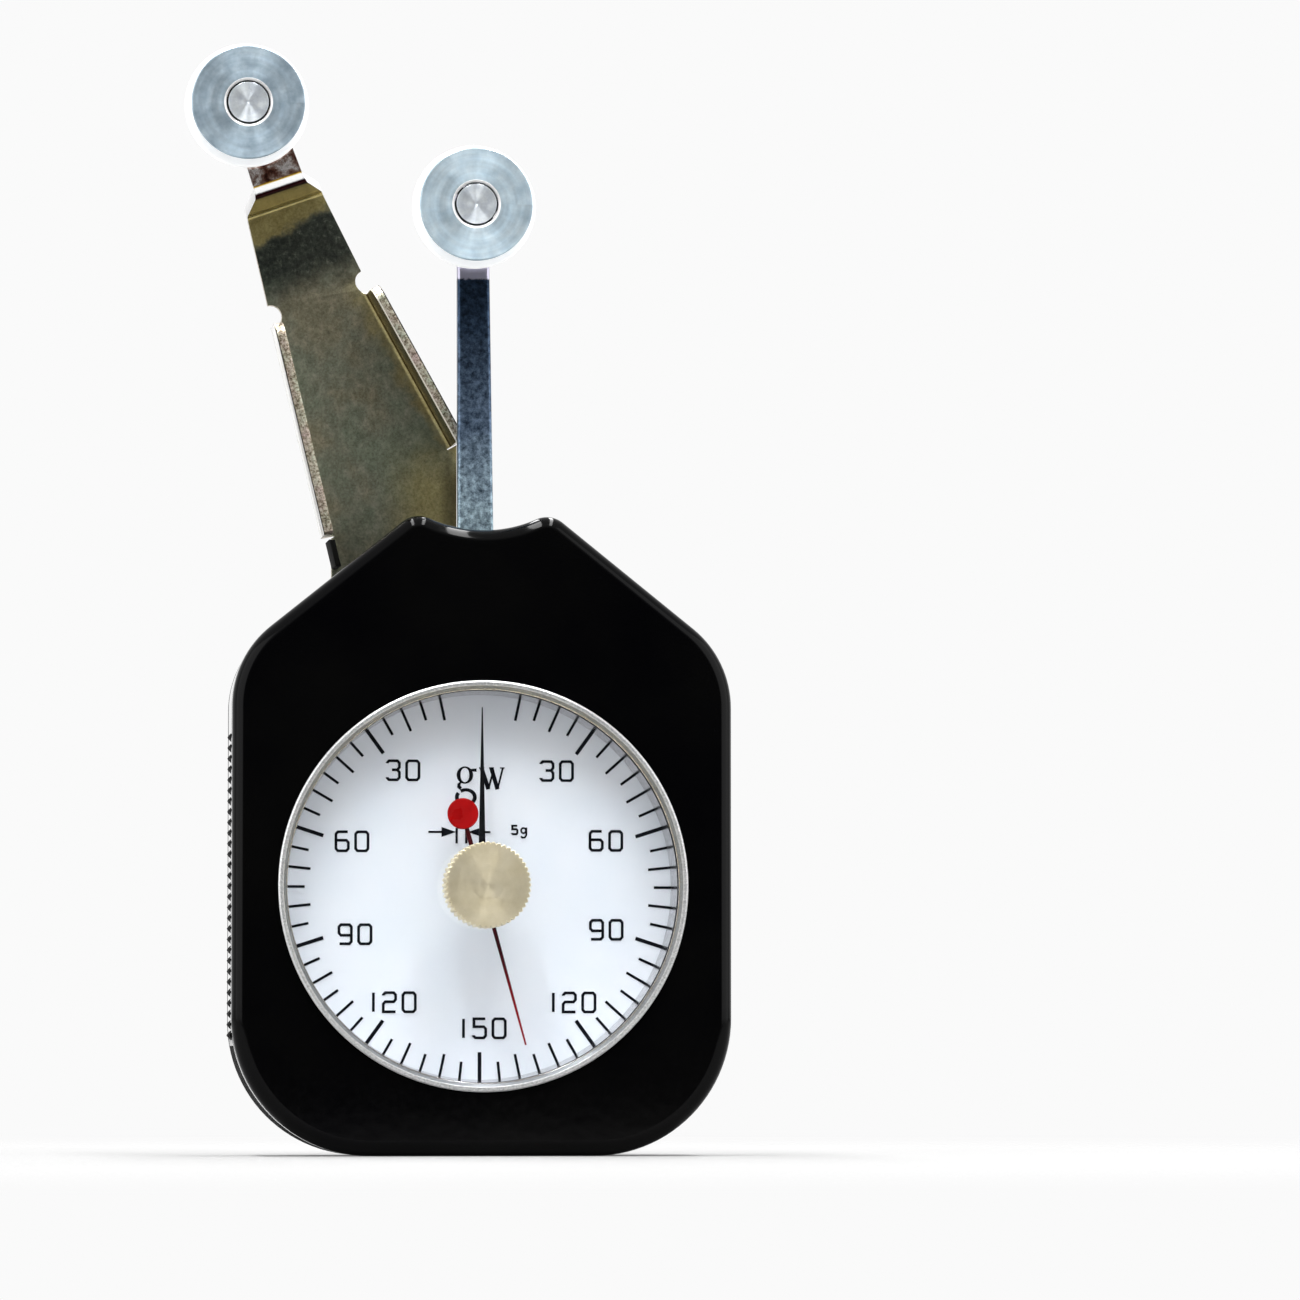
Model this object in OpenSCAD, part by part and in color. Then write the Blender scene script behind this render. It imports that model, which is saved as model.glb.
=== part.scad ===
// Yarn tension meter: a hand-held dial gauge with a fixed roller and a swinging roller.
// X is to the right, Y is away from the dial, Z is up. The base face stands on z = 0.

/* [Case] */
// Width of the case across its straight sides
case_w = 62; // [58:0.4:75]
// Height of the case up to its two top horns
case_h = 79.1; // [78:0.1:95]
// Radius of the two lower corners
base_r = 17; // [12:0.5:20]
// Radius where each side meets its shoulder
shoulder_r = 12.6; // [8:0.2:15]
// Height from where each side starts to turn into its shoulder up to the horns
shoulder_drop = 23.6; // [22:0.1:26]
// Slope of the shoulders, in degrees
shoulder_slope = 38.7; // [32:0.1:44]
// Radius on top of each horn
horn_r = 3.2; // [2.6:0.1:4]
// Depth of the notch between the horns
notch_depth = 1.7; // [1.2:0.1:2.4]
// Depth of the front cover, from its face to the seam
front_depth = 3.5; // [3:0.1:5]
// Depth of the rear cover, from the seam to its back
rear_depth = 16.5; // [16:0.1:20]
// Wall of both covers
wall = 1.6; // [1.2:0.1:2]
// Rounding of the front cover's outer edge
front_round = 1.8; // [1:0.1:2.4]
// Rounding of the rear cover's back edge
back_round = 3.6; // [2:0.1:4.4]
// How far the rear cover sits inside the front cover's outline
rear_inset = 0.4; // [0.3:0.1:1.2]

/* [Grip ribs] */
// Ribs down each side
rib_count = 29; // [20:1:32]
// Height of the lowest rib
rib_z = 14.9; // [12:0.1:18]
// Distance between ribs
rib_pitch = 1.32; // [1.1:0.02:1.4]
// How far a rib stands out of the front cover's outline
rib_proud = 0.1; // [0.1:0.1:0.8]
// Length of a rib from the seam back
rib_len = 6.2; // [4:0.2:11]

/* [Dial] */
// Height of the dial's centre
dial_z = 33.25; // [30:0.25:36]
// Outer radius of the bezel
bezel_r = 25.4; // [22:0.1:26]
// Height of the bezel over the front face
bezel_rise = 0.6; // [0.4:0.1:1]
// Thickness of the crystal
crystal_t = 1; // [0.8:0.1:1.4]
// Depth of the dial plate's face behind the front face
dial_depth = 5.5; // [5:0.1:6]
// Thickness of the dial plate
dial_t = 0.6; // [0.4:0.1:0.8]
// Angle between two scale marks
mark_step = 6; // [3:1:10]
// Marks from the top centre to the first one on each side
first_mark = 2; // [1:1:4]
// Length of a small mark
mark_len = 2.5; // [1.5:0.1:3]
// Length of a numbered mark
long_mark_len = 3.8; // [3:0.1:4.5]
// How much the dial well narrows from the crystal down to the dial
well_taper = 0.4; // [0:0.05:0.5]

/* [Pointers] */
// Gap between the main pointer's tip and the bezel
pointer_tip_gap = 2.05; // [1:0.05:5]
// Gap between the peak pointer's tip and the bezel
peak_tip_gap = 3.95; // [1:0.05:7]
// Angle at which the peak pointer was left, from straight down
peak_angle = 15.4; // [0:0.2:40]
// Radius of the disc on the peak pointer's tail
peak_disc_r = 1.93; // [1.2:0.05:2.2]
// Distance of that disc from the axis
peak_disc_reach = 9.3; // [7.6:0.1:11]
// Radius of the reset knob
knob_r = 5.32; // [4:0.1:6]
// Length of the reset knob
knob_len = 4.8; // [3:0.1:6]
// Flutes around the reset knob
knob_flutes = 48; // [24:1:60]

/* [Lever] */
// Tooth module of the gears, which also sets the pivot's height over the dial's centre
tooth_module = 0.4; // [0.35:0.01:0.42]
// Teeth on the pointer's pinion
pinion_teeth = 14; // [13:1:16]
// Teeth that the sector would have on a full circle
sector_teeth = 150; // [146:1:150]
// Swing of the lever to each side, in degrees
swing = 16.8; // [10:0.1:17]
// Height of the lever roller's axis over the top of the case
lever_rise = 39.35; // [34:0.05:50]
// Width of the lever at the case
lever_w = 4.5; // [3.6:0.1:5]
// Width of the lever below its roller
lever_top_w = 3.95; // [3:0.05:4.5]
// Thickness of the lever
lever_t = 1.5; // [1:0.1:1.8]
// Lean of the lever to the left at rest, in degrees
lever_lean = 0.55; // [0:0.05:1]

/* [Rollers] */
// Radius of a roller's front disc
roller_r = 7.05; // [5.5:0.05:8]
// Radius of a roller's rear ring
rear_ring_r = 7.72; // [7:0.01:9]
// Radius at the bottom of the yarn groove
groove_r = 4.8; // [4.4:0.1:5.2]
// Width of the yarn groove
groove_w = 2.1; // [1.8:0.1:2.6]
// Radius of the axle's turned head
head_r = 2.63; // [2.2:0.01:2.7]
// Radius of the axle's shank
axle_r = 1.5; // [1.3:0.05:1.6]
// Height of the fixed roller's axis over the top of the case
fixed_rise = 51.7; // [47:0.1:60]
// Distance of the fixed roller's axis to the left of the centre line
fixed_roller_x = 29; // [26:0.1:32]

/* [Bracket] */
// Width of the pad at the foot of the left flange
pad_w = 0.7; // [0.5:0.1:1]
// Length of that pad
pad_len = 3.3; // [2:0.1:3.6]
// Thickness of the bracket's sheet
sheet_t = 1.2; // [0.8:0.1:1.4]
// Depth of the bracket's side flanges
flange_depth = 8.2; // [6:0.1:8.4]
// Lean of the bracket's neck to the left, in degrees
neck_lean = 19.4; // [15:0.1:22]

/* [Hidden] */
$fn = 64;

// Small gaps that several pieces share
run_gap = 0.05;
slip_gap = 0.1;
free_gap = 0.3;

// Depths along Y. The seam lies in front of the origin and the rear cover reaches behind it.
seam_y = -5.5;
face_y = seam_y - front_depth;
back_y = seam_y + rear_depth;
rear_floor_y = back_y - wall;
bezel_y = face_y - bezel_rise;
bezel_sleeve_r = bezel_r - 0.45;
well_r = bezel_r - 1.15;
crystal_y = face_y + 0.1;
crystal_back_y = crystal_y + crystal_t;
gasket_t = 0.4;
dial_y = face_y + dial_depth;
dial_back_y = dial_y + dial_t;
plate_t = 1;
front_plate_y = dial_back_y + 0.8;
front_plate_back_y = front_plate_y + plate_t;
boss_len = 1.6;
back_plate_back_y = rear_floor_y - boss_len;
back_plate_y = back_plate_back_y - plate_t;
lever_y = 0.8;
lever_back_y = lever_y + lever_t;
sector_y = lever_back_y + 1.1;
sector_t = 0.8;
pinion_y = sector_y - 0.5;
pinion_t = sector_t + 1;
spring_y = sector_y + sector_t + 0.8;
spring_t = 1;
collet_y = spring_y - 0.1;
pointer_y = dial_y - 3.1;
pointer_len = well_r - pointer_tip_gap;
peak_len = well_r - peak_tip_gap;
pointer_t = 0.25;
peak_y = pointer_y - 0.7;
peak_t = 0.2;
bush_flange_t = 0.3;
bush_hole_r = 1.65;
spindle_r = 1;
knob_back_y = crystal_y - bush_flange_t - slip_gap;
knob_neck_len = 0.9;
knob_y = knob_back_y - knob_neck_len - knob_len;

// Case outline
half_w = case_w / 2;
shoulder_z = case_h - shoulder_drop;
base_c = [half_w - base_r, base_r];
shoulder_c = [half_w - shoulder_r, shoulder_z];
normal_a = 90 - shoulder_slope;
normal_v = [cos(normal_a), sin(normal_a)];
shoulder_d = shoulder_c * normal_v + shoulder_r;
horn_z = case_h - horn_r;
horn_x = (shoulder_d - horn_r - horn_z * normal_v[1]) / normal_v[0];
notch_z = case_h - notch_depth;
notch_drop = notch_z - horn_z;
notch_r = (pow(horn_x, 2) + pow(notch_drop, 2) - pow(horn_r, 2)) / (2 * (horn_r - notch_drop));
notch_a = atan2(notch_z + notch_r - horn_z, horn_x);
function rear_shoulder_z(x) = (shoulder_d - rear_inset - abs(x) * normal_v[0]) / normal_v[1];
rear_top_r = 6;
rear_top_z = notch_z - 1;
rear_top_x = (shoulder_d - rear_inset - rear_top_r - (rear_top_z - rear_top_r) * normal_v[1]) / normal_v[0];

// Movement
pinion_r = tooth_module * pinion_teeth / 2;
sector_r = tooth_module * sector_teeth / 2;
pivot_z = dial_z + pinion_r + sector_r;
tooth_angle = 25;
tooth_tip = 0.8 * tooth_module;
tooth_root = 1.1 * tooth_module;
tooth_play = 0.05;
sector_half = swing + 3.6;
arbor_r = 1.2;
pivot_r = 0.6;
bush_r = 1.5;
pointer_shaft_r = 1;
pillar_r = 1.8;
small_screw_r = 0.75;
post_r = 2.7;
case_screw_r = 0.9;
case_head_r = 1.8;
case_head_h = 1.3;
case_bore_depth = 3;
boss_r = 2.4;
lower_head_r = 1.5;
lower_head_h = 0.6;
lower_bore_depth = 0.8;
post_x = half_w - 6;
plate_corner_r = 3.1;
pillar_x = post_x - 6;
upper_spots = [[1 - pillar_x, dial_z + 16.75], [pillar_x - 1, dial_z + 16.75]];
lower_spots = [[-pillar_x, dial_z - 19.25], [pillar_x, dial_z - 19.25]];
pillar_spots = concat(upper_spots, lower_spots);
post_spots = [[-post_x, 16], [post_x, 16], [-post_x, shoulder_z + 0.5], [post_x, shoulder_z + 0.5]];
stop_reach = 7;
stop_r = 0.9;
lever_hub_r = 4.5;
stop_a = swing + lever_lean + 0.6 + asin((lever_w / 2 + stop_r) / stop_reach);
spring_strip = 0.35;
spring_r0 = 2;
spring_turns = 5;
spring_pitch = 0.85;
spring_stud_r = 0.8;
spring_end_r = spring_r0 + spring_turns * spring_pitch;
spring_stud_spot = [spring_end_r + spring_stud_r + spring_strip / 2, pivot_z];
hair_strip = 0.12;
hair_r0 = 1.5;
hair_turns = 7;
hair_pitch = 0.52;
hair_stud_r = 0.6;
hair_end_r = hair_r0 + hair_turns * hair_pitch;
hair_stud_spot = [hair_end_r + hair_stud_r + hair_strip / 2 + 0.06, dial_z];
hair_y = spring_y + 0.2;
hair_t = 0.5;

// Lever and rollers
lever_len = (case_h + lever_rise - pivot_z) / cos(lever_lean);
lever_tip = [-lever_len * sin(lever_lean), case_h + lever_rise];
fixed_tip = [-fixed_roller_x, case_h + fixed_rise];
roller_gap = 0.6;
ring_t = 1.1;
ring_y = lever_y - roller_gap - ring_t;
core_y = ring_y - groove_w;
disc_t = 0.9;
disc_y = core_y - disc_t;
bearing_r = 3.5;
bearing_w = 2.6;
bearing_y = core_y;
ball_r = 0.6;
ball_pitch_r = 2.5;
ball_count = 8;
race_gap = 0.35;
head_t = disc_t - slip_gap;
spacer_r = 2.1;
nut_r = 2.9;
nut_t = 1.6;

// Bracket. Its plate lies on the rear cover's back.
plate_y = back_y;
flange_y = plate_y + sheet_t - flange_depth;
bracket_x0 = -17.4;
bracket_x1 = -1.6;
bracket_z0 = pivot_z - 22;
flange_foot_z = rear_shoulder_z(bracket_x0) + 5.5;
left_shelf = fixed_tip + [0.75, -12.6];
left_relief = fixed_tip + [3.8, -25.25];
right_shelf = fixed_tip + [10.3, -9.2];
right_relief = fixed_tip + [15.95, -20.6];
right_foot = [bracket_x1, fixed_tip[1] - 41.1];
relief_r = 1.45;
left_edge = (left_relief - left_shelf) / (left_shelf[1] - left_relief[1]);
left_foot = left_relief + left_edge * (left_relief[1] - flange_foot_z);
tab_w = 6.2;
tab_shift = 0.7;
tab_r = 3.2;
shelf_u = -11.7;
shelf_rise = 1.1;
bend_r = 1.2;
bend_drop = bend_r * [sin(neck_lean), -cos(neck_lean)];
bracket_spots = [[-14.4, pivot_z - 8], [-4.6, pivot_z - 14], [-14.4, pivot_z - 18]];
bracket_screw_r = 1;

// Shared helpers

// A flat shape drawn in X and Z, from y0 to y1
module slab(y0, y1)
  translate([0, y1, 0])
    rotate([90, 0, 0])
      linear_extrude(y1 - y0)
        children();

// A profile drawn as radius and Y, turned about the Y axis at a spot in X and Z
module turned(spot)
  translate([spot[0], 0, spot[1]])
    rotate([-90, 0, 0])
      rotate_extrude()
        children();

module rod(spot, r, y0, y1)
  translate([spot[0], y0, spot[1]])
    rotate([-90, 0, 0])
      cylinder(r = r, h = y1 - y0);

module hex_rod(spot, r, y0, y1)
  translate([spot[0], y0, spot[1]])
    rotate([-90, 0, 0])
      cylinder(r = r, h = y1 - y0, $fn = 6);

function arc(c, r, a0, a1, n) = [for (i = [0:n])
  let (a = a0 + (a1 - a0) * i / n) c + r * [cos(a), sin(a)]];

function flip(points) = [for (i = [len(points) - 1:-1:0]) [-points[i][0], points[i][1]]];

function most(points) = [for (i = [0:len(points) - 2]) points[i]];

// Front cover outline, moved inwards by d
function front_half(d) = concat(
  arc(base_c, base_r - d, -90, 0, 9),
  arc(shoulder_c, shoulder_r - d, 0, normal_a, 6),
  most(arc([horn_x, horn_z], horn_r - d, normal_a, 180 - notch_a, 5)),
  arc([0, notch_z + notch_r], notch_r + d, -notch_a, -90, 4)
);
function front_outline(d) = concat(front_half(d), flip(most(front_half(d))));

// Rear cover outline, moved inwards by d. It has no horns, and its base is level with the front cover's.
function rear_half(d) = concat(
  arc(base_c - [0, rear_inset], base_r - d, -90, 0, 9),
  arc(shoulder_c, shoulder_r - d, 0, normal_a, 6),
  arc([rear_top_x, rear_top_z - rear_top_r], rear_top_r + rear_inset - d, normal_a, 90, 5)
);
function rear_outline(d) = concat(rear_half(d), flip(rear_half(d)));

// A solid skinned over outlines of equal length, each at its own y
module skin(outlines, ys) {
  n = len(outlines[0]);
  m = len(outlines);
  points = [for (j = [0:m - 1]) for (p = outlines[j]) [p[0], ys[j], p[1]]];
  sides = [for (j = [0:m - 2]) for (i = [0:n - 1]) let (k = (i + 1) % n) each [
    [j * n + i, j * n + k, (j + 1) * n + k],
    [j * n + i, (j + 1) * n + k, (j + 1) * n + i]
  ]];
  front = [for (i = [n - 1:-1:0]) i];
  back = [for (i = [0:n - 1]) (m - 1) * n + i];
  polyhedron(points, concat([front], sides, [back]));
}

// Angles through a rounded edge
round_steps = [0, 30, 60, 90];

// A thin strip along a path in the plane, with mitred corners
function side_normal(a, b) = let (v = (b - a) / norm(b - a)) [-v[1], v[0]];
function strip_side(path, t) = [for (i = [0:len(path) - 1])
  let (
    n0 = side_normal(path[max(i - 1, 0)], path[max(i, 1)]),
    n1 = side_normal(path[min(i, len(path) - 2)], path[min(i + 1, len(path) - 1)]),
    m = n0 + n1
  ) path[i] + m * t / (m * n1)
];
function backwards(points) = [for (i = [len(points) - 1:-1:0]) points[i]];
function strip(path, t) = concat(strip_side(path, t / 2), backwards(strip_side(path, -t / 2)));

// Two arms of a corner joined by an arc of radius r
function bend(a, b, c, r, n) =
  let (
    u = (a - b) / norm(a - b),
    v = (c - b) / norm(c - b),
    half = acos(u * v) / 2,
    centre = b + (u + v) / norm(u + v) * r / sin(half),
    a0 = atan2(-(centre - b - u * ((centre - b) * u))[1], -(centre - b - u * ((centre - b) * u))[0]),
    a1 = atan2(-(centre - b - v * ((centre - b) * v))[1], -(centre - b - v * ((centre - b) * v))[0]),
    turn = a1 - a0 > 180 ? a1 - a0 - 360 : a1 - a0 < -180 ? a1 - a0 + 360 : a1 - a0
  ) arc(centre, r, a0, a0 + turn, n);

// Case

module front_cover() color([0.04, 0.04, 0.045]) {
  round_d = [for (a = round_steps) front_round * (1 - sin(a))];
  round_y = [for (a = round_steps) face_y + front_round * (1 - cos(a))];
  difference() {
    union() {
      difference() {
        skin([for (d = concat(round_d, [0])) front_outline(d)], concat(round_y, [seam_y]));
        slab(face_y + wall, seam_y + 1) polygon(front_outline(wall));
      }
      rod([0, dial_z], bezel_sleeve_r + 1.3, face_y + wall / 2, dial_y - 1);
      for (s = post_spots) rod(s, post_r, face_y + wall / 2, seam_y + 2);
    }
    rod([0, dial_z], bezel_sleeve_r + run_gap, face_y - 1, seam_y + 2);
    for (s = post_spots) rod(s, case_screw_r, face_y + wall, seam_y + 3);
  }
}

module rear_cover() color([0.05, 0.05, 0.055]) {
  round_d = [for (a = round_steps) rear_inset + back_round * (1 - cos(a))];
  round_y = [for (a = round_steps) back_y - back_round * (1 - sin(a))];
  difference() {
    union() {
      difference() {
        skin([for (d = concat([rear_inset], round_d)) rear_outline(d)], concat([seam_y], round_y));
        slab(seam_y - 1, rear_floor_y) polygon(rear_outline(rear_inset + wall));
      }
      for (side = [0, 1]) mirror([side, 0, 0]) grip_ribs();
      for (s = post_spots) rod(s, post_r, seam_y + 2 + free_gap, rear_floor_y + wall / 2);
      for (s = concat(bracket_spots, lower_spots)) rod(s, boss_r, back_plate_back_y, rear_floor_y + wall / 2);
    }
    for (s = post_spots) {
      rod(s, case_screw_r + slip_gap, seam_y - 2, back_y + 1);
      rod(s, case_head_r + slip_gap, back_y - case_bore_depth, back_y + 1);
    }
    for (s = bracket_spots) rod(s, bracket_screw_r + slip_gap, seam_y, back_y + 1);
    for (s = lower_spots) {
      rod(s, small_screw_r + slip_gap, seam_y, back_y + 1);
      rod(s, lower_head_r + slip_gap, back_y - lower_bore_depth, back_y + 1);
    }
    lever_slot();
  }
}

// A comb of triangular ribs on the side wall, from the seam back
module grip_ribs() {
  height = rib_proud + rear_inset;
  root = [for (z = [rib_z + (rib_count - 0.5) * rib_pitch, rib_z - 0.5 * rib_pitch]) [-height - 0.3, z]];
  teeth = [for (i = [0:rib_count - 1]) each [
    [-height - 0.1, rib_z + (i - 0.45) * rib_pitch],
    [0, rib_z + i * rib_pitch],
    [-height - 0.1, rib_z + (i + 0.45) * rib_pitch]
  ]];
  translate([half_w + rib_proud, 0, 0])
    slab(seam_y, seam_y + rib_len)
      polygon(concat(teeth, root));
}

// The slot in the rear cover's top that the lever swings in
module lever_slot() {
  reach = (rear_top_z - pivot_z) * tan(swing + lever_lean) + lever_w / 2 + 1;
  translate([-reach, lever_y - 1, rear_top_z - 2 * wall])
    cube([2 * reach, lever_t + 2, 3 * wall]);
}

module screw(spot, head_y, tip_y, head_r, shank_r, head_h) {
  dir = head_y > tip_y ? 1 : -1;
  y0 = min(head_y, head_y - dir * head_h);
  difference() {
    rod(spot, head_r, y0, y0 + head_h);
    translate([spot[0], head_y, spot[1]])
      cube([2.4 * head_r, head_h, 0.25 * head_r], center = true);
  }
  rod(spot, shank_r, min(tip_y, head_y - dir * head_h), max(tip_y, head_y - dir * head_h));
}

module case_screws() color([0.6, 0.6, 0.62])
  for (s = post_spots)
    screw(s, back_y - case_bore_depth + case_head_h, face_y + 2 * wall,
      case_head_r, case_screw_r - 0.02, case_head_h);

// Dial window

module bezel() color([0.78, 0.79, 0.8])
  turned([0, dial_z])
    polygon([
      [well_r - well_taper, dial_y - 0.1], [well_r, crystal_back_y + gasket_t], [well_r + 0.35, crystal_back_y + gasket_t],
      [well_r + 0.35, crystal_y], [well_r, crystal_y], [well_r, bezel_y + 0.55],
      [well_r + 0.55, bezel_y], [bezel_r - 0.2, bezel_y], [bezel_r, bezel_y + 0.2],
      [bezel_r, face_y], [bezel_sleeve_r, face_y], [bezel_sleeve_r, dial_y - 0.1]
    ]);

module crystal() color([0.85, 0.92, 0.97, 0.3])
  difference() {
    rod([0, dial_z], well_r + 0.3, crystal_y, crystal_back_y);
    rod([0, dial_z], bush_hole_r, crystal_y - 1, crystal_back_y + 1);
  }

module crystal_gasket() color([0.75, 0.75, 0.75])
  difference() {
    rod([0, dial_z], well_r + 0.3, crystal_back_y, crystal_back_y + gasket_t);
    rod([0, dial_z], well_r - 0.05, crystal_back_y - 1, crystal_back_y + gasket_t + 1);
  }

module crystal_bush() color([0.72, 0.6, 0.34])
  turned([0, dial_z])
    polygon([
      [spindle_r + run_gap, crystal_y - bush_flange_t], [2.4, crystal_y - bush_flange_t],
      [2.4, crystal_y], [bush_hole_r, crystal_y],
      [bush_hole_r, crystal_back_y + 0.2], [spindle_r + run_gap, crystal_back_y + 0.2]
    ]);

module dial_plate() color([0.9, 0.92, 0.96])
  difference() {
    union() {
      rod([0, dial_z], bezel_sleeve_r, dial_y, dial_back_y);
      for (s = [-1, 1]) rod([s * 17, dial_z - 4], 0.8, dial_back_y, front_plate_back_y);
    }
    rod([0, dial_z], pointer_shaft_r + free_gap, dial_y - 1, dial_back_y + 1);
  }

// Marks run down both sides of the dial from the top to the bottom centre
module dial_marks() color([0.03, 0.03, 0.04]) {
  last = 180 / mark_step;
  for (side = [-1, 1]) for (i = [first_mark:last]) if (side < 0 || i < last) {
    long = i % 6 == 0;
    w = long ? 0.46 : 0.33;
    l = long ? long_mark_len : i % 2 == 0 ? mark_len + 0.6 : mark_len;
    translate([0, dial_y - 0.05, dial_z])
      rotate([0, side * i * mark_step, 0])
        translate([-w / 2, 0, well_r - l])
          cube([w, 0.05, l - 0.02]);
  }
}

// Movement plates

module plate_shape()
  hull() {
    translate([0, pivot_z]) circle(8);
    for (s = pillar_spots) translate(s) circle(plate_corner_r);
  }

module movement_front_plate() color([0.75, 0.62, 0.35])
  difference() {
    slab(front_plate_y, front_plate_back_y) plate_shape();
    rod([0, dial_z], bush_r, front_plate_y - 1, front_plate_back_y + 1);
    rod([0, pivot_z], bush_r, front_plate_y - 1, front_plate_back_y + 1);
    for (s = pillar_spots) rod(s, small_screw_r + slip_gap, front_plate_y - 1, front_plate_back_y + 1);
    for (s = [-1, 1]) rod([s * 17, dial_z - 4], 0.8 + run_gap, front_plate_y - 1, front_plate_back_y + 1);
    for (s = [-1, 1]) rod(stop_spot(s), stop_r, front_plate_y - 1, front_plate_back_y + 1);
  }

function stop_spot(s) = [s * stop_reach * sin(stop_a), pivot_z + stop_reach * cos(stop_a)];

module movement_back_plate() color([0.75, 0.62, 0.35])
  difference() {
    slab(back_plate_y, back_plate_back_y) plate_shape();
    rod([0, dial_z], bush_r, back_plate_y - 1, back_plate_back_y + 1);
    rod([0, pivot_z], bush_r, back_plate_y - 1, back_plate_back_y + 1);
    for (s = pillar_spots) rod(s, small_screw_r + slip_gap, back_plate_y - 1, back_plate_back_y + 1);
    for (s = bracket_spots) rod(s, bracket_screw_r + 0.02, back_plate_y - 1, back_plate_back_y + 1);
    rod(spring_stud_spot, spring_stud_r, back_plate_y - 1, back_plate_back_y + 1);
    rod(hair_stud_spot, hair_stud_r, back_plate_y - 1, back_plate_back_y + 1);
  }

module movement_pillars() color([0.7, 0.58, 0.32])
  difference() {
    for (s = pillar_spots) rod(s, pillar_r, front_plate_back_y, back_plate_y);
    for (s = pillar_spots) {
      rod(s, small_screw_r + 0.02, front_plate_back_y - 1, front_plate_back_y + 3);
      rod(s, small_screw_r + 0.02, back_plate_y - 3, back_plate_y + 1);
    }
  }

module front_plate_screws() color([0.3, 0.33, 0.45])
  for (s = pillar_spots) screw(s, front_plate_y - 0.5, front_plate_back_y + 2.6, 1.4, small_screw_r, 0.5);

module back_plate_screws() color([0.6, 0.6, 0.62]) {
  for (s = upper_spots)
    screw(s, back_plate_back_y + 0.7, back_plate_y - 2.6, 1.4, small_screw_r, 0.7);
  for (s = lower_spots)
    screw(s, back_y - lower_bore_depth + lower_head_h, back_plate_y - 2.6,
      lower_head_r, small_screw_r, lower_head_h);
}

// Gears

function inv(a) = tan(a) * 180 / PI - a;
function flank_a(r, pitch_r, n) =
  let (base = pitch_r * cos(tooth_angle))
  (90 - tooth_play / pitch_r * 28.65 * n) / n + inv(tooth_angle) - (r > base ? inv(acos(base / r)) : 0);

// One tooth around direction a, from its right foot over its tip to its left foot
function tooth(a, pitch_r, n) =
  let (
    r0 = pitch_r - tooth_root,
    r1 = pitch_r + tooth_tip,
    radii = [for (i = [0:5]) r0 + (r1 - r0) * i / 5],
    right = [for (r = radii) let (b = a - flank_a(r, pitch_r, n)) r * [cos(b), sin(b)]],
    left = [for (i = [5:-1:0]) let (b = a + flank_a(radii[i], pitch_r, n)) radii[i] * [cos(b), sin(b)]]
  ) concat(right, left);

module lever_arbor() color([0.75, 0.75, 0.78]) {
  rod([0, pivot_z], arbor_r, front_plate_back_y + 0.2, back_plate_y - 0.2);
  rod([0, pivot_z], pivot_r, front_plate_y - 0.05, back_plate_back_y + 0.1);
}

module bushes(spot) color([0.8, 0.68, 0.4])
  for (y = [front_plate_y, back_plate_y])
    difference() {
      rod(spot, bush_r, y, y + plate_t);
      rod(spot, pivot_r + run_gap, y - 1, y + plate_t + 1);
    }

module lever_bushes() bushes([0, pivot_z]);
module pointer_bushes() bushes([0, dial_z]);

module lever_arm() color([0.42, 0.48, 0.56])
  difference() {
    slab(lever_y, lever_back_y)
      union() {
        translate([0, pivot_z]) circle(lever_hub_r);
        translate([0, pivot_z])
          rotate(lever_lean)
            polygon([
              [-lever_w / 2, 0], [lever_w / 2, 0], [lever_w / 2, rear_top_z - pivot_z],
              [lever_top_w / 2, lever_len], [-lever_top_w / 2, lever_len],
              [-lever_w / 2, rear_top_z - pivot_z]
            ]);
        translate(lever_tip) circle(2.7);
      }
    rod([0, pivot_z], arbor_r, lever_y - 1, lever_back_y + 1);
    rod(lever_tip, axle_r, lever_y - 1, lever_back_y + 1);
  }

module collar(spot, r, bore, y0, y1)
  difference() {
    rod(spot, r, y0, y1);
    rod(spot, bore, y0 - 1, y1 + 1);
  }

module lever_collet() color([0.72, 0.6, 0.34])
  collar([0, pivot_z], 3.2, arbor_r, lever_back_y, sector_y);

module sector_gear() color([0.78, 0.66, 0.4]) {
  step = 360 / sector_teeth;
  side_teeth = floor(sector_half / step);
  edge = side_teeth * step + step / 2;
  rim_r = sector_r - 2.6;
  inner = arc([0, 0], rim_r, -90 + edge, -90 - edge, 24);
  outer = [for (i = [-side_teeth:side_teeth]) each tooth(-90 + i * step, sector_r, sector_teeth)];
  difference() {
    slab(sector_y, sector_y + sector_t)
      translate([0, pivot_z])
        union() {
          polygon(concat(outer, inner));
          circle(4);
          for (s = [-1, 1])
            rotate(s * (edge - 4.4))
              translate([-0.9, -rim_r - 0.8])
                square([1.8, rim_r]);
        }
    rod([0, pivot_z], arbor_r, sector_y - 1, sector_y + sector_t + 1);
  }
}

module stop_pins() color([0.7, 0.7, 0.72])
  for (s = [-1, 1]) rod(stop_spot(s), stop_r, front_plate_y, sector_y - 0.4);

// A flat spiral strip from radius r0, growing by pitch each turn
function spiral(r0, pitch, turns) = [for (i = [0:turns * 24])
  let (a = i * 15, r = r0 + pitch * i / 24) r * [cos(a), sin(a)]];

module spiral_spring(spot, r0, pitch, turns, t, y0, y1)
  slab(y0, y1)
    translate(spot)
      polygon(strip(spiral(r0 + t / 2 + 0.02, pitch, turns), t));

module measuring_spring() color([0.35, 0.4, 0.5])
  spiral_spring([0, pivot_z], spring_r0, spring_pitch, spring_turns, spring_strip,
    spring_y, spring_y + spring_t);

module spring_collet() color([0.72, 0.6, 0.34])
  collar([0, pivot_z], spring_r0, arbor_r, collet_y, collet_y + spring_t + 0.2);

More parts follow.
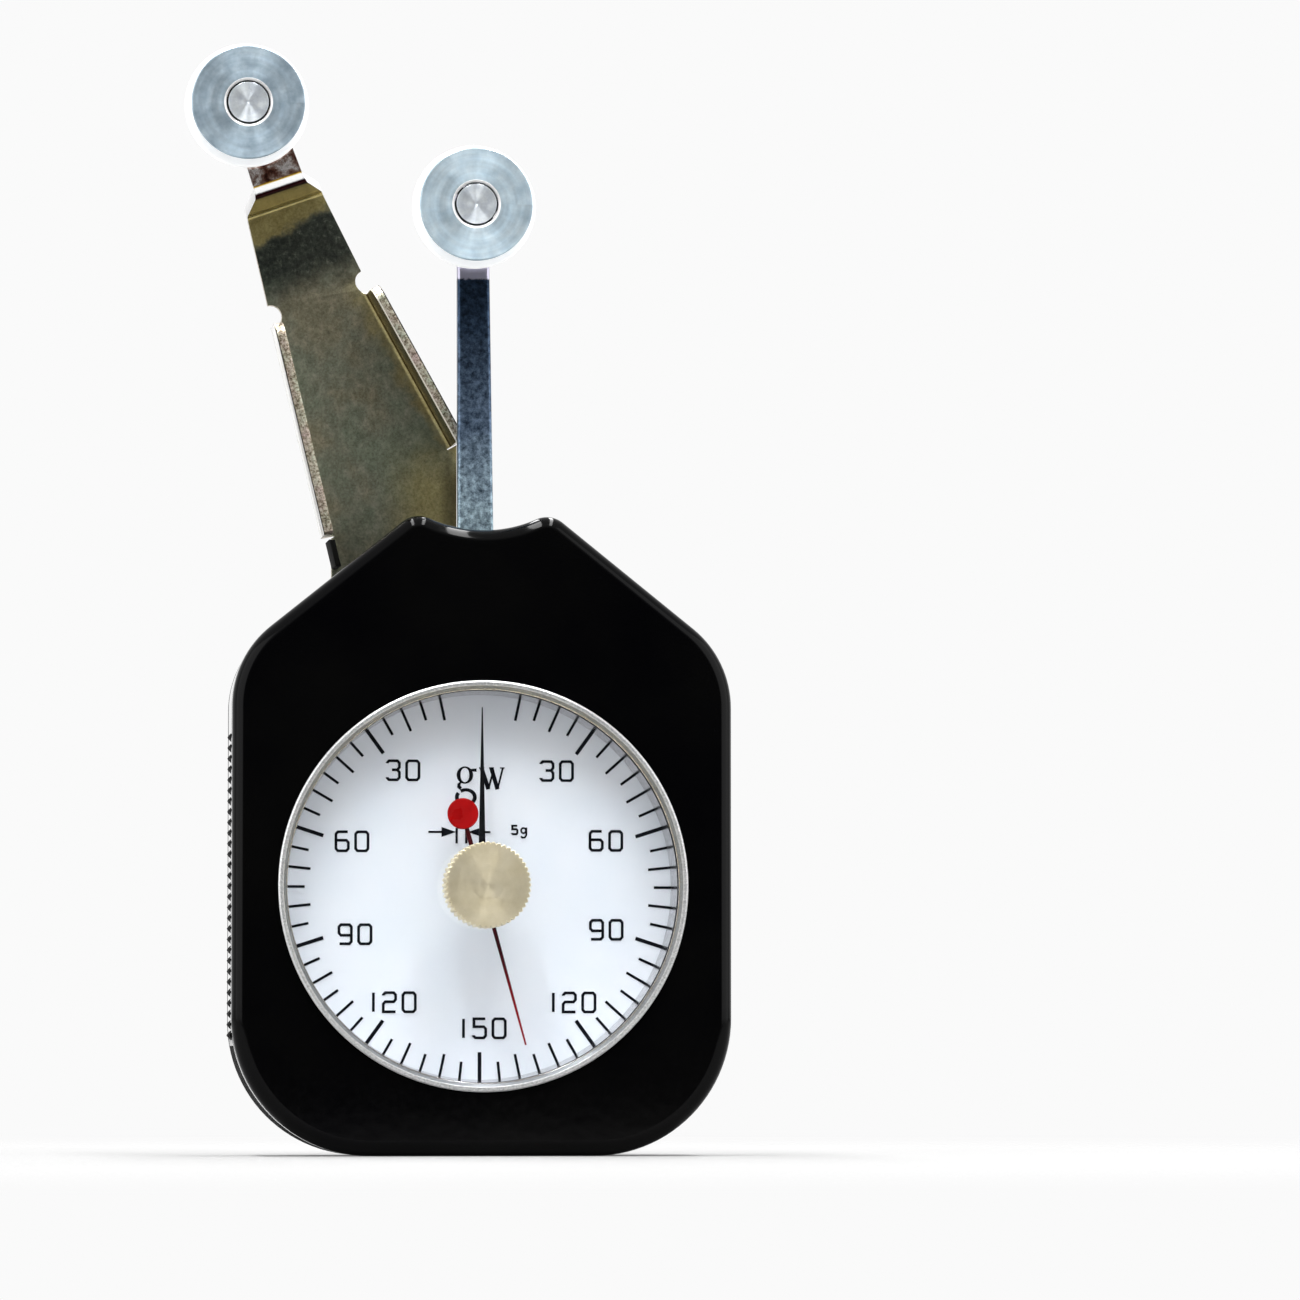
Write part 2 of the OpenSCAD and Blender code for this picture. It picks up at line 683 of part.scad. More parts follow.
module spring_stud() color([0.7, 0.7, 0.72])
  rod(spring_stud_spot + [0.08, 0], spring_stud_r - 0.08, collet_y, back_plate_back_y);

// Pointer arbor and its pieces

module pointer_arbor() color([0.75, 0.75, 0.78]) {
  rod([0, dial_z], pointer_shaft_r, front_plate_back_y + 0.2, back_plate_y - 0.2);
  rod([0, dial_z], pivot_r, pointer_y - 0.1, back_plate_back_y + 0.1);
}

module pointer_pinion() color([0.78, 0.66, 0.4])
  difference() {
    slab(pinion_y, pinion_y + pinion_t)
      translate([0, dial_z])
        polygon([for (i = [0:pinion_teeth - 1])
          each tooth(90 + (i + 0.5) * 360 / pinion_teeth, pinion_r, pinion_teeth)]);
    rod([0, dial_z], pointer_shaft_r, pinion_y - 1, pinion_y + pinion_t + 1);
  }

module main_pointer() color([0.02, 0.02, 0.025])
  difference() {
    union() {
      slab(pointer_y, pointer_y + pointer_t)
        translate([0, dial_z])
          union() {
            polygon([
              [-0.55, 0], [0.55, 0], [0.4, 5.6], [0.06, pointer_len], [-0.06, pointer_len], [-0.4, 5.6]
            ]);
            polygon([[-0.5, 0], [-0.5, -3], [0.5, -3], [0.5, 0]]);
            translate([0, -3]) circle(1.3);
          }
      rod([0, dial_z], 1.3, pointer_y, pointer_y + 1);
    }
    rod([0, dial_z], pivot_r, pointer_y - 1, pointer_y + 2);
  }

module hairspring() color([0.35, 0.4, 0.5])
  spiral_spring([0, dial_z], hair_r0, hair_pitch, hair_turns, hair_strip, hair_y, hair_y + hair_t);

module hairspring_collet() color([0.72, 0.6, 0.34])
  collar([0, dial_z], hair_r0, pointer_shaft_r, hair_y - 0.1, hair_y + hair_t + 0.1);

module hairspring_stud() color([0.7, 0.7, 0.72])
  rod(hair_stud_spot, hair_stud_r - 0.02, hair_y - 0.1, back_plate_back_y);

// Peak pointer and its knob

module peak_turn()
  translate([0, 0, dial_z]) rotate([0, -peak_angle, 0]) translate([0, 0, -dial_z]) children();

module peak_pointer() color([0.6, 0.03, 0.03])
  peak_turn()
    difference() {
      union() {
        slab(peak_y, peak_y + peak_t)
          translate([0, dial_z])
            polygon([
              [-0.3, 0], [-0.1, -peak_len], [0.1, -peak_len], [0.3, 0],
              [0.26, peak_disc_reach], [-0.26, peak_disc_reach]
            ]);
        rod([0, dial_z], 1.6, peak_y, peak_y + peak_t);
      }
      rod([0, dial_z], spindle_r, peak_y - 1, peak_y + 1);
    }

module peak_disc() color([0.72, 0.02, 0.02])
  peak_turn()
    rod([0, dial_z + peak_disc_reach], peak_disc_r, peak_y - 0.25, peak_y);

module peak_spindle() color([0.75, 0.75, 0.78])
  rod([0, dial_z], spindle_r, knob_y + 1.2, peak_y + peak_t + 0.05);

module reset_knob() color([0.81, 0.76, 0.63])
  difference() {
    union() {
      rod([0, dial_z], knob_r - 0.15, knob_y, knob_y + knob_len);
      for (i = [0:knob_flutes - 1])
        rod([0, dial_z] + (knob_r - 0.2) * [cos(i * 360 / knob_flutes), sin(i * 360 / knob_flutes)],
          0.2, knob_y + 0.2, knob_y + knob_len - 0.2, $fn = 16);
      rod([0, dial_z], 2.2, knob_y, knob_back_y);
    }
    rod([0, dial_z], spindle_r, knob_y + 1.2, knob_back_y + 1);
  }

// Bracket with the fixed roller

module bracket_outline()
  difference() {
    polygon([
      left_shelf + bend_drop, left_foot, [bracket_x0, flange_foot_z - 0.1], [bracket_x0, bracket_z0 + 3],
      [bracket_x0 + 3, bracket_z0], [bracket_x1 - 3, bracket_z0], [bracket_x1, bracket_z0 + 3],
      right_foot, right_shelf + bend_drop
    ]);
    translate(left_relief) circle(relief_r);
    translate(right_relief) circle(relief_r);
  }

// A strip of sheet standing forward along one edge of the plate
module flange(top, foot, side)
  slab(flange_y, plate_y + sheet_t) {
    out = 0.4 * side_normal(top, foot) * side;
    thick = sheet_t * side_normal(top, foot) * side;
    polygon([top + out, foot + out, foot + out - thick, top + out - thick]);
  }

// Side view of the neck: plate, shelf and tab in one bent sheet
neck_path =
  let (
    mid = plate_y + sheet_t / 2,
    low = [mid, shelf_u - 4],
    corner = [mid, shelf_u],
    rise = [lever_y + sheet_t / 2, shelf_u + shelf_rise],
    tip = [lever_y + sheet_t / 2, tab_r + 1]
  ) concat([low], bend(low, corner, rise, bend_r, 5), bend(corner, rise, tip, bend_r, 5), [tip]);

module neck()
  translate([fixed_tip[0], 0, fixed_tip[1]])
    rotate([0, -neck_lean, 0])
      intersection() {
        translate([-10, 0, 0])
          rotate([90, 0, 90])
            linear_extrude(20)
              polygon(strip(neck_path, sheet_t));
        slab(-2, plate_y + 3)
          union() {
            circle(tab_r);
            polygon([
              [-tab_r, 0], [tab_shift - tab_w / 2, -7],
              [tab_shift - tab_w / 2 - 0.1, shelf_u + shelf_rise + 0.6],
              [-3.5, shelf_u], [-3.7, shelf_u - 4], [6.7, shelf_u - 4], [6.6, shelf_u],
              [tab_shift + tab_w / 2 - 0.2, shelf_u + shelf_rise + 0.6], [tab_shift + tab_w / 2, -7], [tab_r, 0]
            ]);
          }
      }

module bracket() color([0.45, 0.41, 0.26])
  difference() {
    union() {
      slab(plate_y, plate_y + sheet_t) bracket_outline();
      neck();
      difference() {
        union() {
          flange(left_relief - [0, relief_r], left_foot, -1);
          flange(right_relief - [0, relief_r], right_foot, 1);
        }
        rod(right_relief, relief_r, flange_y - 1, plate_y + sheet_t + 1);
      }
    }
    rod(fixed_tip, axle_r, lever_y - 2, lever_y + sheet_t + 1);
    for (s = bracket_spots) rod(s, bracket_screw_r + slip_gap, plate_y - 1, plate_y + sheet_t + 1);
  }

module bracket_screws() color([0.7, 0.7, 0.72])
  for (s = bracket_spots)
    screw(s, plate_y + sheet_t + 1.3, back_plate_y - 0.3, 2, bracket_screw_r, 1.3);

// A small pad in front of the plate's left edge, in line with the left flange and below its foot
module bracket_pad() color([0.03, 0.03, 0.03])
  slab(flange_y + 0.2, plate_y) {
    x0 = bracket_x0 - 0.8;
    top = flange_foot_z - 0.5;
    lean = left_edge[0] * pad_len;
    polygon([[x0, top], [x0 + pad_w, top], [x0 + lean + pad_w, top - pad_len], [x0 + lean, top - pad_len]]);
  }

// One roller, drawn about its own axis

module roller_face(spot) color([0.66, 0.72, 0.78])
  turned(spot)
    polygon([
      [head_r + 0.15, disc_y + 0.15], [head_r + 0.3, disc_y], [roller_r - 0.15, disc_y],
      [roller_r, disc_y + 0.15], [roller_r, disc_y + disc_t - 0.1], [roller_r - 0.1, disc_y + disc_t],
      [head_r + 0.15, disc_y + disc_t]
    ]);

module roller_core(spot) color([0.66, 0.72, 0.78])
  collar(spot, groove_r, bearing_r, core_y, ring_y);

module roller_ring(spot) color([0.95, 0.95, 0.95])
  turned(spot)
    polygon([
      [bearing_r, ring_y], [groove_r, ring_y], [rear_ring_r - 0.2, ring_y + 0.35],
      [rear_ring_r, ring_y + 0.55], [rear_ring_r, ring_y + ring_t], [bearing_r, ring_y + ring_t]
    ]);

module roller_axle(spot, end_y) color([0.72, 0.76, 0.8]) {
  rod(spot, head_r, disc_y, disc_y + head_t);
  rod(spot, axle_r, disc_y + head_t, end_y + nut_t + 0.3);
}

module roller_nut(spot, y0) color([0.7, 0.7, 0.72])
  difference() {
    hex_rod(spot, nut_r, y0, y0 + nut_t);
    rod(spot, axle_r, y0 - 1, y0 + nut_t + 1);
  }

module roller_spacer(spot) color([0.7, 0.7, 0.72])
  collar(spot, spacer_r, axle_r, bearing_y + bearing_w, lever_y);

module bearing_outer(spot) color([0.6, 0.6, 0.62])
  turned(spot)
    difference() {
      translate([ball_pitch_r + race_gap, bearing_y])
        square([bearing_r - ball_pitch_r - race_gap, bearing_w]);
      translate([ball_pitch_r, bearing_y + bearing_w / 2]) circle(ball_r + run_gap);
    }

module bearing_inner(spot) color([0.6, 0.6, 0.62])
  turned(spot)
    difference() {
      translate([axle_r, bearing_y - slip_gap])
        square([ball_pitch_r - race_gap - axle_r, bearing_w + slip_gap]);
      translate([ball_pitch_r, bearing_y + bearing_w / 2]) circle(ball_r + run_gap);
    }

module bearing_balls(spot) color([0.8, 0.8, 0.82])
  for (i = [0:ball_count - 1]) {
    a = i * 360 / ball_count;
    translate([spot[0] + ball_pitch_r * cos(a), bearing_y + bearing_w / 2, spot[1] + ball_pitch_r * sin(a)])
      sphere(r = ball_r, $fn = 24);
  }

front_cover();
rear_cover();
case_screws();
bezel();
crystal();
crystal_gasket();
crystal_bush();
dial_plate();
dial_marks();
movement_front_plate();
movement_back_plate();
movement_pillars();
front_plate_screws();
back_plate_screws();
lever_arm();
lever_arbor();
lever_collet();
sector_gear();
lever_bushes();
stop_pins();
measuring_spring();
spring_collet();
spring_stud();
pointer_arbor();
pointer_pinion();
pointer_bushes();
main_pointer();
hairspring();
hairspring_collet();
hairspring_stud();
peak_pointer();
peak_disc();
peak_spindle();
reset_knob();
bracket();
bracket_screws();
bracket_pad();
roller_face(fixed_tip);  // fixed_roller_face
roller_core(fixed_tip);  // fixed_roller_core
roller_ring(fixed_tip);  // fixed_roller_ring
roller_axle(fixed_tip, lever_y + sheet_t);  // fixed_roller_axle
roller_nut(fixed_tip, lever_y + sheet_t);  // fixed_roller_nut
roller_spacer(fixed_tip);  // fixed_roller_spacer
bearing_outer(fixed_tip);  // fixed_bearing_outer
bearing_inner(fixed_tip);  // fixed_bearing_inner
bearing_balls(fixed_tip);  // fixed_bearing_balls
roller_face(lever_tip);  // lever_roller_face
roller_core(lever_tip);  // lever_roller_core
roller_ring(lever_tip);  // lever_roller_ring
roller_axle(lever_tip, lever_back_y);  // lever_roller_axle
roller_nut(lever_tip, lever_back_y);  // lever_roller_nut
roller_spacer(lever_tip);  // lever_roller_spacer
bearing_outer(lever_tip);  // lever_bearing_outer
bearing_inner(lever_tip);  // lever_bearing_inner
bearing_balls(lever_tip);  // lever_bearing_balls
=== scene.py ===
import math

import bmesh
import bpy
import numpy as np
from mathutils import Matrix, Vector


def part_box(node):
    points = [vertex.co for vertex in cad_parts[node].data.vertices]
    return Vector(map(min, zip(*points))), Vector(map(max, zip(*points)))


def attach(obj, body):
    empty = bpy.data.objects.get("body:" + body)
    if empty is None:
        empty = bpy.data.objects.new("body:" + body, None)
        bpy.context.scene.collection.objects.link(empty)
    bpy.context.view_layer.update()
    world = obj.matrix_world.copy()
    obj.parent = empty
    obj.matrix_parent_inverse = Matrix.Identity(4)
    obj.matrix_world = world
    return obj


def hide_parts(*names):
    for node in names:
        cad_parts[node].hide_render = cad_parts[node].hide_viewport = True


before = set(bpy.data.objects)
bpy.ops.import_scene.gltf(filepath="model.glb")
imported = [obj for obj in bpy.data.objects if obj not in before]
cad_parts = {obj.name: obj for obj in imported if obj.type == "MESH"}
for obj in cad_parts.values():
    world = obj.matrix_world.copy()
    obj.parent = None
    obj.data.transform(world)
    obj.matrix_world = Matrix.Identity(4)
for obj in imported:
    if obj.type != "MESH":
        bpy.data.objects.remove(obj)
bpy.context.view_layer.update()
mm = 0.001
print("frame loaded:", len(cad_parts), "nodes")

# what several pieces share: the dial's centre height and the roller axles' X and Z in mm, the bracket neck's
# lean in degrees
shared = {"dialZ": 33.25, "rollers": {"fixed": (-29.0, 130.8), "lever": (-0.503, 118.45)}, "neckLean": 19.4}

# camera
cameraPlace = {
    "stands": (-0.08666, -0.9098, 0.00968),
    "yaw": 6.794,  # degrees towards +X
    "pitch": 3.336,  # degrees up
    "lens": 203.05,
    "sensor": 36.0,
    "clip": (0.01, 50.0),
}


def makeCamera(place):
    data = bpy.data.cameras.new("photoCamera")
    data.lens = place["lens"]
    data.sensor_width = place["sensor"]
    data.sensor_fit = "HORIZONTAL"
    data.clip_start, data.clip_end = place["clip"]
    camera = bpy.data.objects.new("photoCamera", data)
    bpy.context.scene.collection.objects.link(camera)
    camera.location = place["stands"]
    camera.rotation_euler = (math.radians(90 + place["pitch"]), 0, -math.radians(place["yaw"]))
    bpy.context.scene.camera = camera


makeCamera(cameraPlace)
bpy.context.scene.view_settings.view_transform = "Standard"
print("camera made")

# materials


def toLinear(hexColour):
    # sRGB hex to linear light
    raw = np.array([int(hexColour[i : i + 2], 16) for i in (0, 2, 4)]) / 255.0
    lin = np.where(raw <= 0.04045, raw / 12.92, ((raw + 0.055) / 1.055) ** 2.4)
    return (*[float(c) for c in lin], 1.0)


def perMetre(size):
    # noise scale for a feature of that many millimetres
    return 1.0 / (size * mm)


def addNode(tree, kind, settings=None, output=0):
    # adds a node and gives back one of its outputs; a setting is another node's output, a ramp's (place, hex)
    # stops, one of the node's own options, or a fixed input, where a hex string is a colour
    node = tree.nodes.new("ShaderNode" + kind)
    for key, value in (settings or {}).items():
        if isinstance(value, bpy.types.NodeSocket):
            tree.links.new(value, node.inputs[key])
        elif key == "stops":
            points = node.color_ramp.elements
            first, *middle, last = value
            for point, (place, colour) in ((points[0], first), (points[1], last)):
                point.position, point.color = place, toLinear(colour)
            for place, colour in middle:
                points.new(place).color = toLinear(colour)
        elif isinstance(key, str) and hasattr(node, key):
            setattr(node, key, value)
        else:
            node.inputs[key].default_value = toLinear(value) if isinstance(value, str) else value
    return node.outputs[output] if len(node.outputs) else node


def newMaterial(name):
    # an empty material, the function that adds to it, and the object's own coordinates
    mat = bpy.data.materials.new(name)
    mat.use_nodes = True
    mat.node_tree.nodes.clear()

    def add(kind, settings=None, output=0):
        return addNode(mat.node_tree, kind, settings, output)

    return mat, add, add("TexCoord", None, "Object")


def closeMaterial(mat, add, surface):
    # one Principled shader takes the constants and the patterns
    add("OutputMaterial", {"Surface": add("BsdfPrincipled", surface)})
    return mat


smooth = {"interpolation_type": "SMOOTHSTEP"}  # a range with From Min over From Max falls from 1 to 0


def coated(name, surface, tone, gloss, relief):
    # plastic, enamel, ink or rubber: two close tones, an uneven gloss and a fine relief. Each pattern starts
    # with its size in mm and its detail; then come two tones, two roughnesses, or a strength and a depth in mm
    mat, add, where = newMaterial(name)
    tones, shine, height = [
        add("TexNoise", {"Vector": where, "Scale": perMetre(part[0]), "Detail": part[1]})
        for part in (tone, gloss, relief)
    ]
    uneven = {"Value": shine, "From Min": 0.3, "From Max": 0.7, "To Min": gloss[2], "To Max": gloss[3]}
    return closeMaterial(mat, add, {
        **surface,
        "Base Color": add("ValToRGB", {"Fac": tones, "stops": [(0.3, tone[2]), (0.7, tone[3])]}),
        "Roughness": add("MapRange", uneven),
        "Normal": add("Bump", {"Strength": relief[2], "Distance": relief[3] * mm, "Height": height}),
    })


def plainCoat(name, light, dark, roughness, grain=0.6, strength=0.08, specular=0.5, selfGlow=0.0):
    # one grain for all three; the emission makes the plastic glow a little, painted light that keeps its shaded side
    # bright
    surface = {"IOR": 1.5, "Specular IOR Level": specular, "Emission Color": "FFFFFF", "Emission Strength": selfGlow}
    spread = 0.05
    gloss = (grain, 4.0, roughness - spread, roughness + spread)
    return coated(name, surface, (grain, 4.0, dark, light), gloss, (grain, 4.0, strength, 0.02))


def turnedMetal(name, tint, roughness, anisotropy, groove, metallic, cloud, sheen, lip=None, rim=None):
    # a lathe-turned face: fine circular tool marks that fan the light out, a cloudy tint, and broad curved streaks and
    # short radial smears of painted sheen. The map's u runs around, its v along the profile in centimetres; within a
    # given distance along the profile the face is painted white as a painted highlight, beyond rim it is painted dark
    # as painted shade
    mat, add, where = newMaterial(name)
    unrolled = add("UVMap", {"uv_map": "turning"})
    haze = add("TexNoise", {"Vector": where, "Scale": perMetre(cloud), "Detail": 5.0, "Roughness": 0.6})
    colour = add("ValToRGB", {"Fac": haze, "stops": tint})
    # painted sheen: broad curved streaks and short radial smears that lighten and darken the tint
    for stretch, detail, part in (((2.2, 9.0, 1.0), 2.0, 1.3 * sheen), ((34.0, 3.0, 1.0), 3.0, 0.45 * sheen)):
        smear = add("Mapping", {"Vector": unrolled, "Scale": stretch})
        smear = add("TexNoise", {"Vector": smear, "Scale": 1.0, "Detail": detail})
        span = {"Value": smear, "From Min": 0.32, "From Max": 0.68, "To Min": 1.0 - part, "To Max": 1.0 + 0.6 * part}
        colour = add("VectorMath", {"operation": "SCALE", 0: colour, "Scale": add("MapRange", span)})
    run = add("SeparateXYZ", {0: unrolled}, "Y")
    # the first paint is a white painted highlight near the profile's start; the second paints the face dark beyond rim
    # as painted shade
    for low, high, paint in ((lip and lip * 1.15, lip, "FFFFFF"), (rim, rim and rim * 1.02, "14181D")):
        if low:
            border = add("MapRange", {**smooth, "Value": run, "From Min": low, "From Max": high})
            colour = add("Mix", {"data_type": "RGBA", 0: border, 6: colour, 7: paint}, 2)
    size, strength = groove
    rings = add("Mapping", {"Vector": unrolled, "Scale": (0.6, 10.0 / size, 1.0)})  # stretched into rings
    rings = add("TexNoise", {"Vector": rings, "Scale": 1.0, "Detail": 2.0})
    dull, spread = roughness, 0.06
    gloss = {"Value": rings, "From Min": 0.3, "From Max": 0.7, "To Min": dull - spread, "To Max": dull + spread}
    return closeMaterial(mat, add, {
        "Metallic": metallic, "Anisotropic": anisotropy, "Anisotropic Rotation": 0.25, "Base Color": colour,
        "Roughness": add("MapRange", gloss),
        "Normal": add("Bump", {"Strength": strength, "Distance": 0.02 * mm, "Height": rings}),
        "Tangent": add("Tangent", {"direction_type": "UV_MAP", "uv_map": "turning"}),
    })


def sheetMetal(name, dark, light, roughness, grain, strength):
    # machined, plated or ground metal: a crystalline grain of the given size in mm
    mat, add, where = newMaterial(name)
    warp = add("TexNoise", {"Vector": where, "Scale": perMetre(grain), "Detail": 4.0, "Roughness": 0.65})
    cells = add("TexVoronoi", {"feature": "F1", "Vector": where, "Scale": perMetre(grain * 0.8)}, "Distance")
    speck = add("Mix", {"data_type": "FLOAT", "Factor": 0.45, 2: warp, 3: cells})
    gloss = {"Value": warp, "From Min": 0.25, "From Max": 0.7, "To Min": roughness - 0.08, "To Max": roughness + 0.1}
    return closeMaterial(mat, add, {
        "Metallic": 1.0,
        "Base Color": add("ValToRGB", {"Fac": speck, "stops": [(0.2, dark), (0.8, light)]}),
        "Roughness": add("MapRange", gloss),
        "Normal": add("Bump", {"Strength": strength, "Distance": 0.04 * mm, "Height": speck}),
    })


def clearAcrylic():
    # cast acrylic: quite clear, and it lets the lamps reach the dial
    mat, add, where = newMaterial("clearAcrylic")
    scuff = add("TexNoise", {"Vector": where, "Scale": perMetre(6), "Detail": 5.0})
    tint = add("ValToRGB", {"Fac": scuff, "stops": [(0.3, "F8FBFD"), (0.7, "FDFEFF")]})
    pane = add("BsdfPrincipled", {"IOR": 1.49, "Transmission Weight": 1.0, "Roughness": 0.0, "Base Color": tint})
    shadow = add("LightPath", None, "Is Shadow Ray")
    clear = add("BsdfTransparent", {"Color": "F6FAFD"})
    add("OutputMaterial", {"Surface": add("MixShader", {0: shadow, 1: pane, 2: clear})})
    return mat


def dialRadius(add, where):
    # distance from the dial's axis
    centred = add("Mapping", {"Location": (0, 0, -shared["dialZ"] * mm), "Scale": (1, 0, 1), "Vector": where})
    return add("VectorMath", {"operation": "LENGTH", 0: centred}, "Value")


bezelPaint = {
    # radii in mm where a look gives way to the next, and what it goes from and to
    "borders": {
        "wall": (24.27, 24.36, 0.0, 1.0), "flat": (24.68, 24.86, 0.0, 1.0),
        "gloss": (24.3, 24.5, 0.18, 0.36), "relief": (24.3, 24.6, 0.02, 0.35),
    },
    # the slope's dark paint is painted shade and the flat's near-white paint a painted highlight, on one satin nickel
    "paints": {"turned": ("B4B1B3", "E4E2E3"), "slope": ("6F7276", "909499"), "matt": ("B9BBBC", "F6F6F5")},
}


def bezelMetal():
    # satin nickel: the ring's flat is blasted, its inner wall is turned and polished; its slope is painted darker than
    # its flat, painted shade beside a painted highlight
    mat, add, where = newMaterial("satinNickel")
    radius = dialRadius(add, where)
    blast = add("TexNoise", {"Vector": where, "Scale": perMetre(0.22), "Detail": 3.0, "Roughness": 0.7})
    lathe = add("TexNoise", {"Vector": where, "Scale": perMetre(0.5), "Detail": 4.0, "Roughness": 0.75})
    border = {}
    for key, (low, high, a, b) in bezelPaint["borders"].items():
        span = {"From Min": low * mm, "From Max": high * mm, "To Min": a, "To Max": b}
        border[key] = add("MapRange", {**smooth, "Value": radius, **span})
    paint = {}
    for key, (dark, light) in bezelPaint["paints"].items():
        paint[key] = add("ValToRGB", {"Fac": lathe if key == "turned" else blast, "stops": [(0.3, dark), (0.7, light)]})
    face = add("Mix", {"data_type": "RGBA", 0: border["flat"], 6: paint["slope"], 7: paint["matt"]}, 2)
    grit = add("Math", {"operation": "MULTIPLY", 0: blast, 1: 0.08})
    return closeMaterial(mat, add, {
        "Metallic": 1.0,
        "Base Color": add("Mix", {"data_type": "RGBA", 0: border["wall"], 6: paint["turned"], 7: face}, 2),
        "Roughness": add("Math", {"operation": "ADD", 0: border["gloss"], 1: grit}),
        "Normal": add("Bump", {"Distance": 0.02 * mm, "Height": blast, "Strength": border["relief"]}),
    })


leverPaint = {
    "from": 66, "to": 116, "drift": 9,  # mm over which the bath colour is painted deeper as a painted reflection, and how far it wanders
    "bath": [(0.0, "E0F2F8"), (0.22, "CBE4EE"), (0.5, "7488A0"), (0.75, "41556E"), (0.93, "2A3C52")],
    "speck": [(0.34, "5E636B"), (0.48, "B4B8BC"), (0.62, "FFFFFF")],
    # the pale band under the roller is a painted reflection of the white ring
    "tip": (109.8, 110.1), "ringReflectionWander": 0.8, "ringReflectionColour": "D6D2E6",
}


def leverMetal():
    # zinc plate with a blue bath colour over a fine spangle, painted from pale to deep navy towards the roller as a
    # painted reflection of the room
    f = leverPaint
    mat, add, where = newMaterial("bluePassivatedZinc")
    z = add("SeparateXYZ", {0: where}, "Z")
    drift = add("TexNoise", {"Vector": where, "Scale": perMetre(2.5), "Detail": 3.0, "Roughness": 0.5})
    drift = add("Math", {"operation": "SUBTRACT", 0: drift, 1: 0.5})
    drift = add("Math", {"operation": "MULTIPLY", 0: drift, 1: f["drift"] * mm})
    height = add("Math", {"operation": "ADD", 0: z, 1: drift})
    along = add("MapRange", {"Value": height, "From Min": f["from"] * mm, "From Max": f["to"] * mm})
    # blue passivation tint, painted pale low and deep navy high as a painted reflection
    bath = add("ValToRGB", {"Fac": along, "stops": f["bath"]})
    grain = add("TexNoise", {"Vector": where, "Scale": perMetre(0.8), "Detail": 5.0, "Roughness": 0.75})
    speck = add("ValToRGB", {"Fac": grain, "stops": f["speck"]})
    colour = add("Mix", {"data_type": "RGBA", "blend_type": "MULTIPLY", 0: 1.0, 6: bath, 7: speck}, 2)
    # a pale band under the roller: a painted reflection of the white ring
    end = add("Math", {"operation": "MULTIPLY_ADD", 0: grain, 1: f["ringReflectionWander"] * mm, 2: z})
    low, high = f["tip"]
    end = add("MapRange", {**smooth, "Value": end, "From Min": low * mm, "From Max": high * mm, "To Max": 0.75})
    gloss = {**smooth, "Value": along, "From Min": 0.2, "From Max": 0.9, "To Min": 0.42, "To Max": 0.26}
    return closeMaterial(mat, add, {
        "Metallic": 0.9,
        "Base Color": add("Mix", {"data_type": "RGBA", 0: end, 6: colour, 7: f["ringReflectionColour"]}, 2),
        "Roughness": add("Math", {"operation": "MULTIPLY_ADD", 0: grain, 1: 0.12, 2: add("MapRange", gloss)}),
        "Normal": add("Bump", {"Strength": 0.35, "Distance": 0.03 * mm, "Height": grain}),
    })


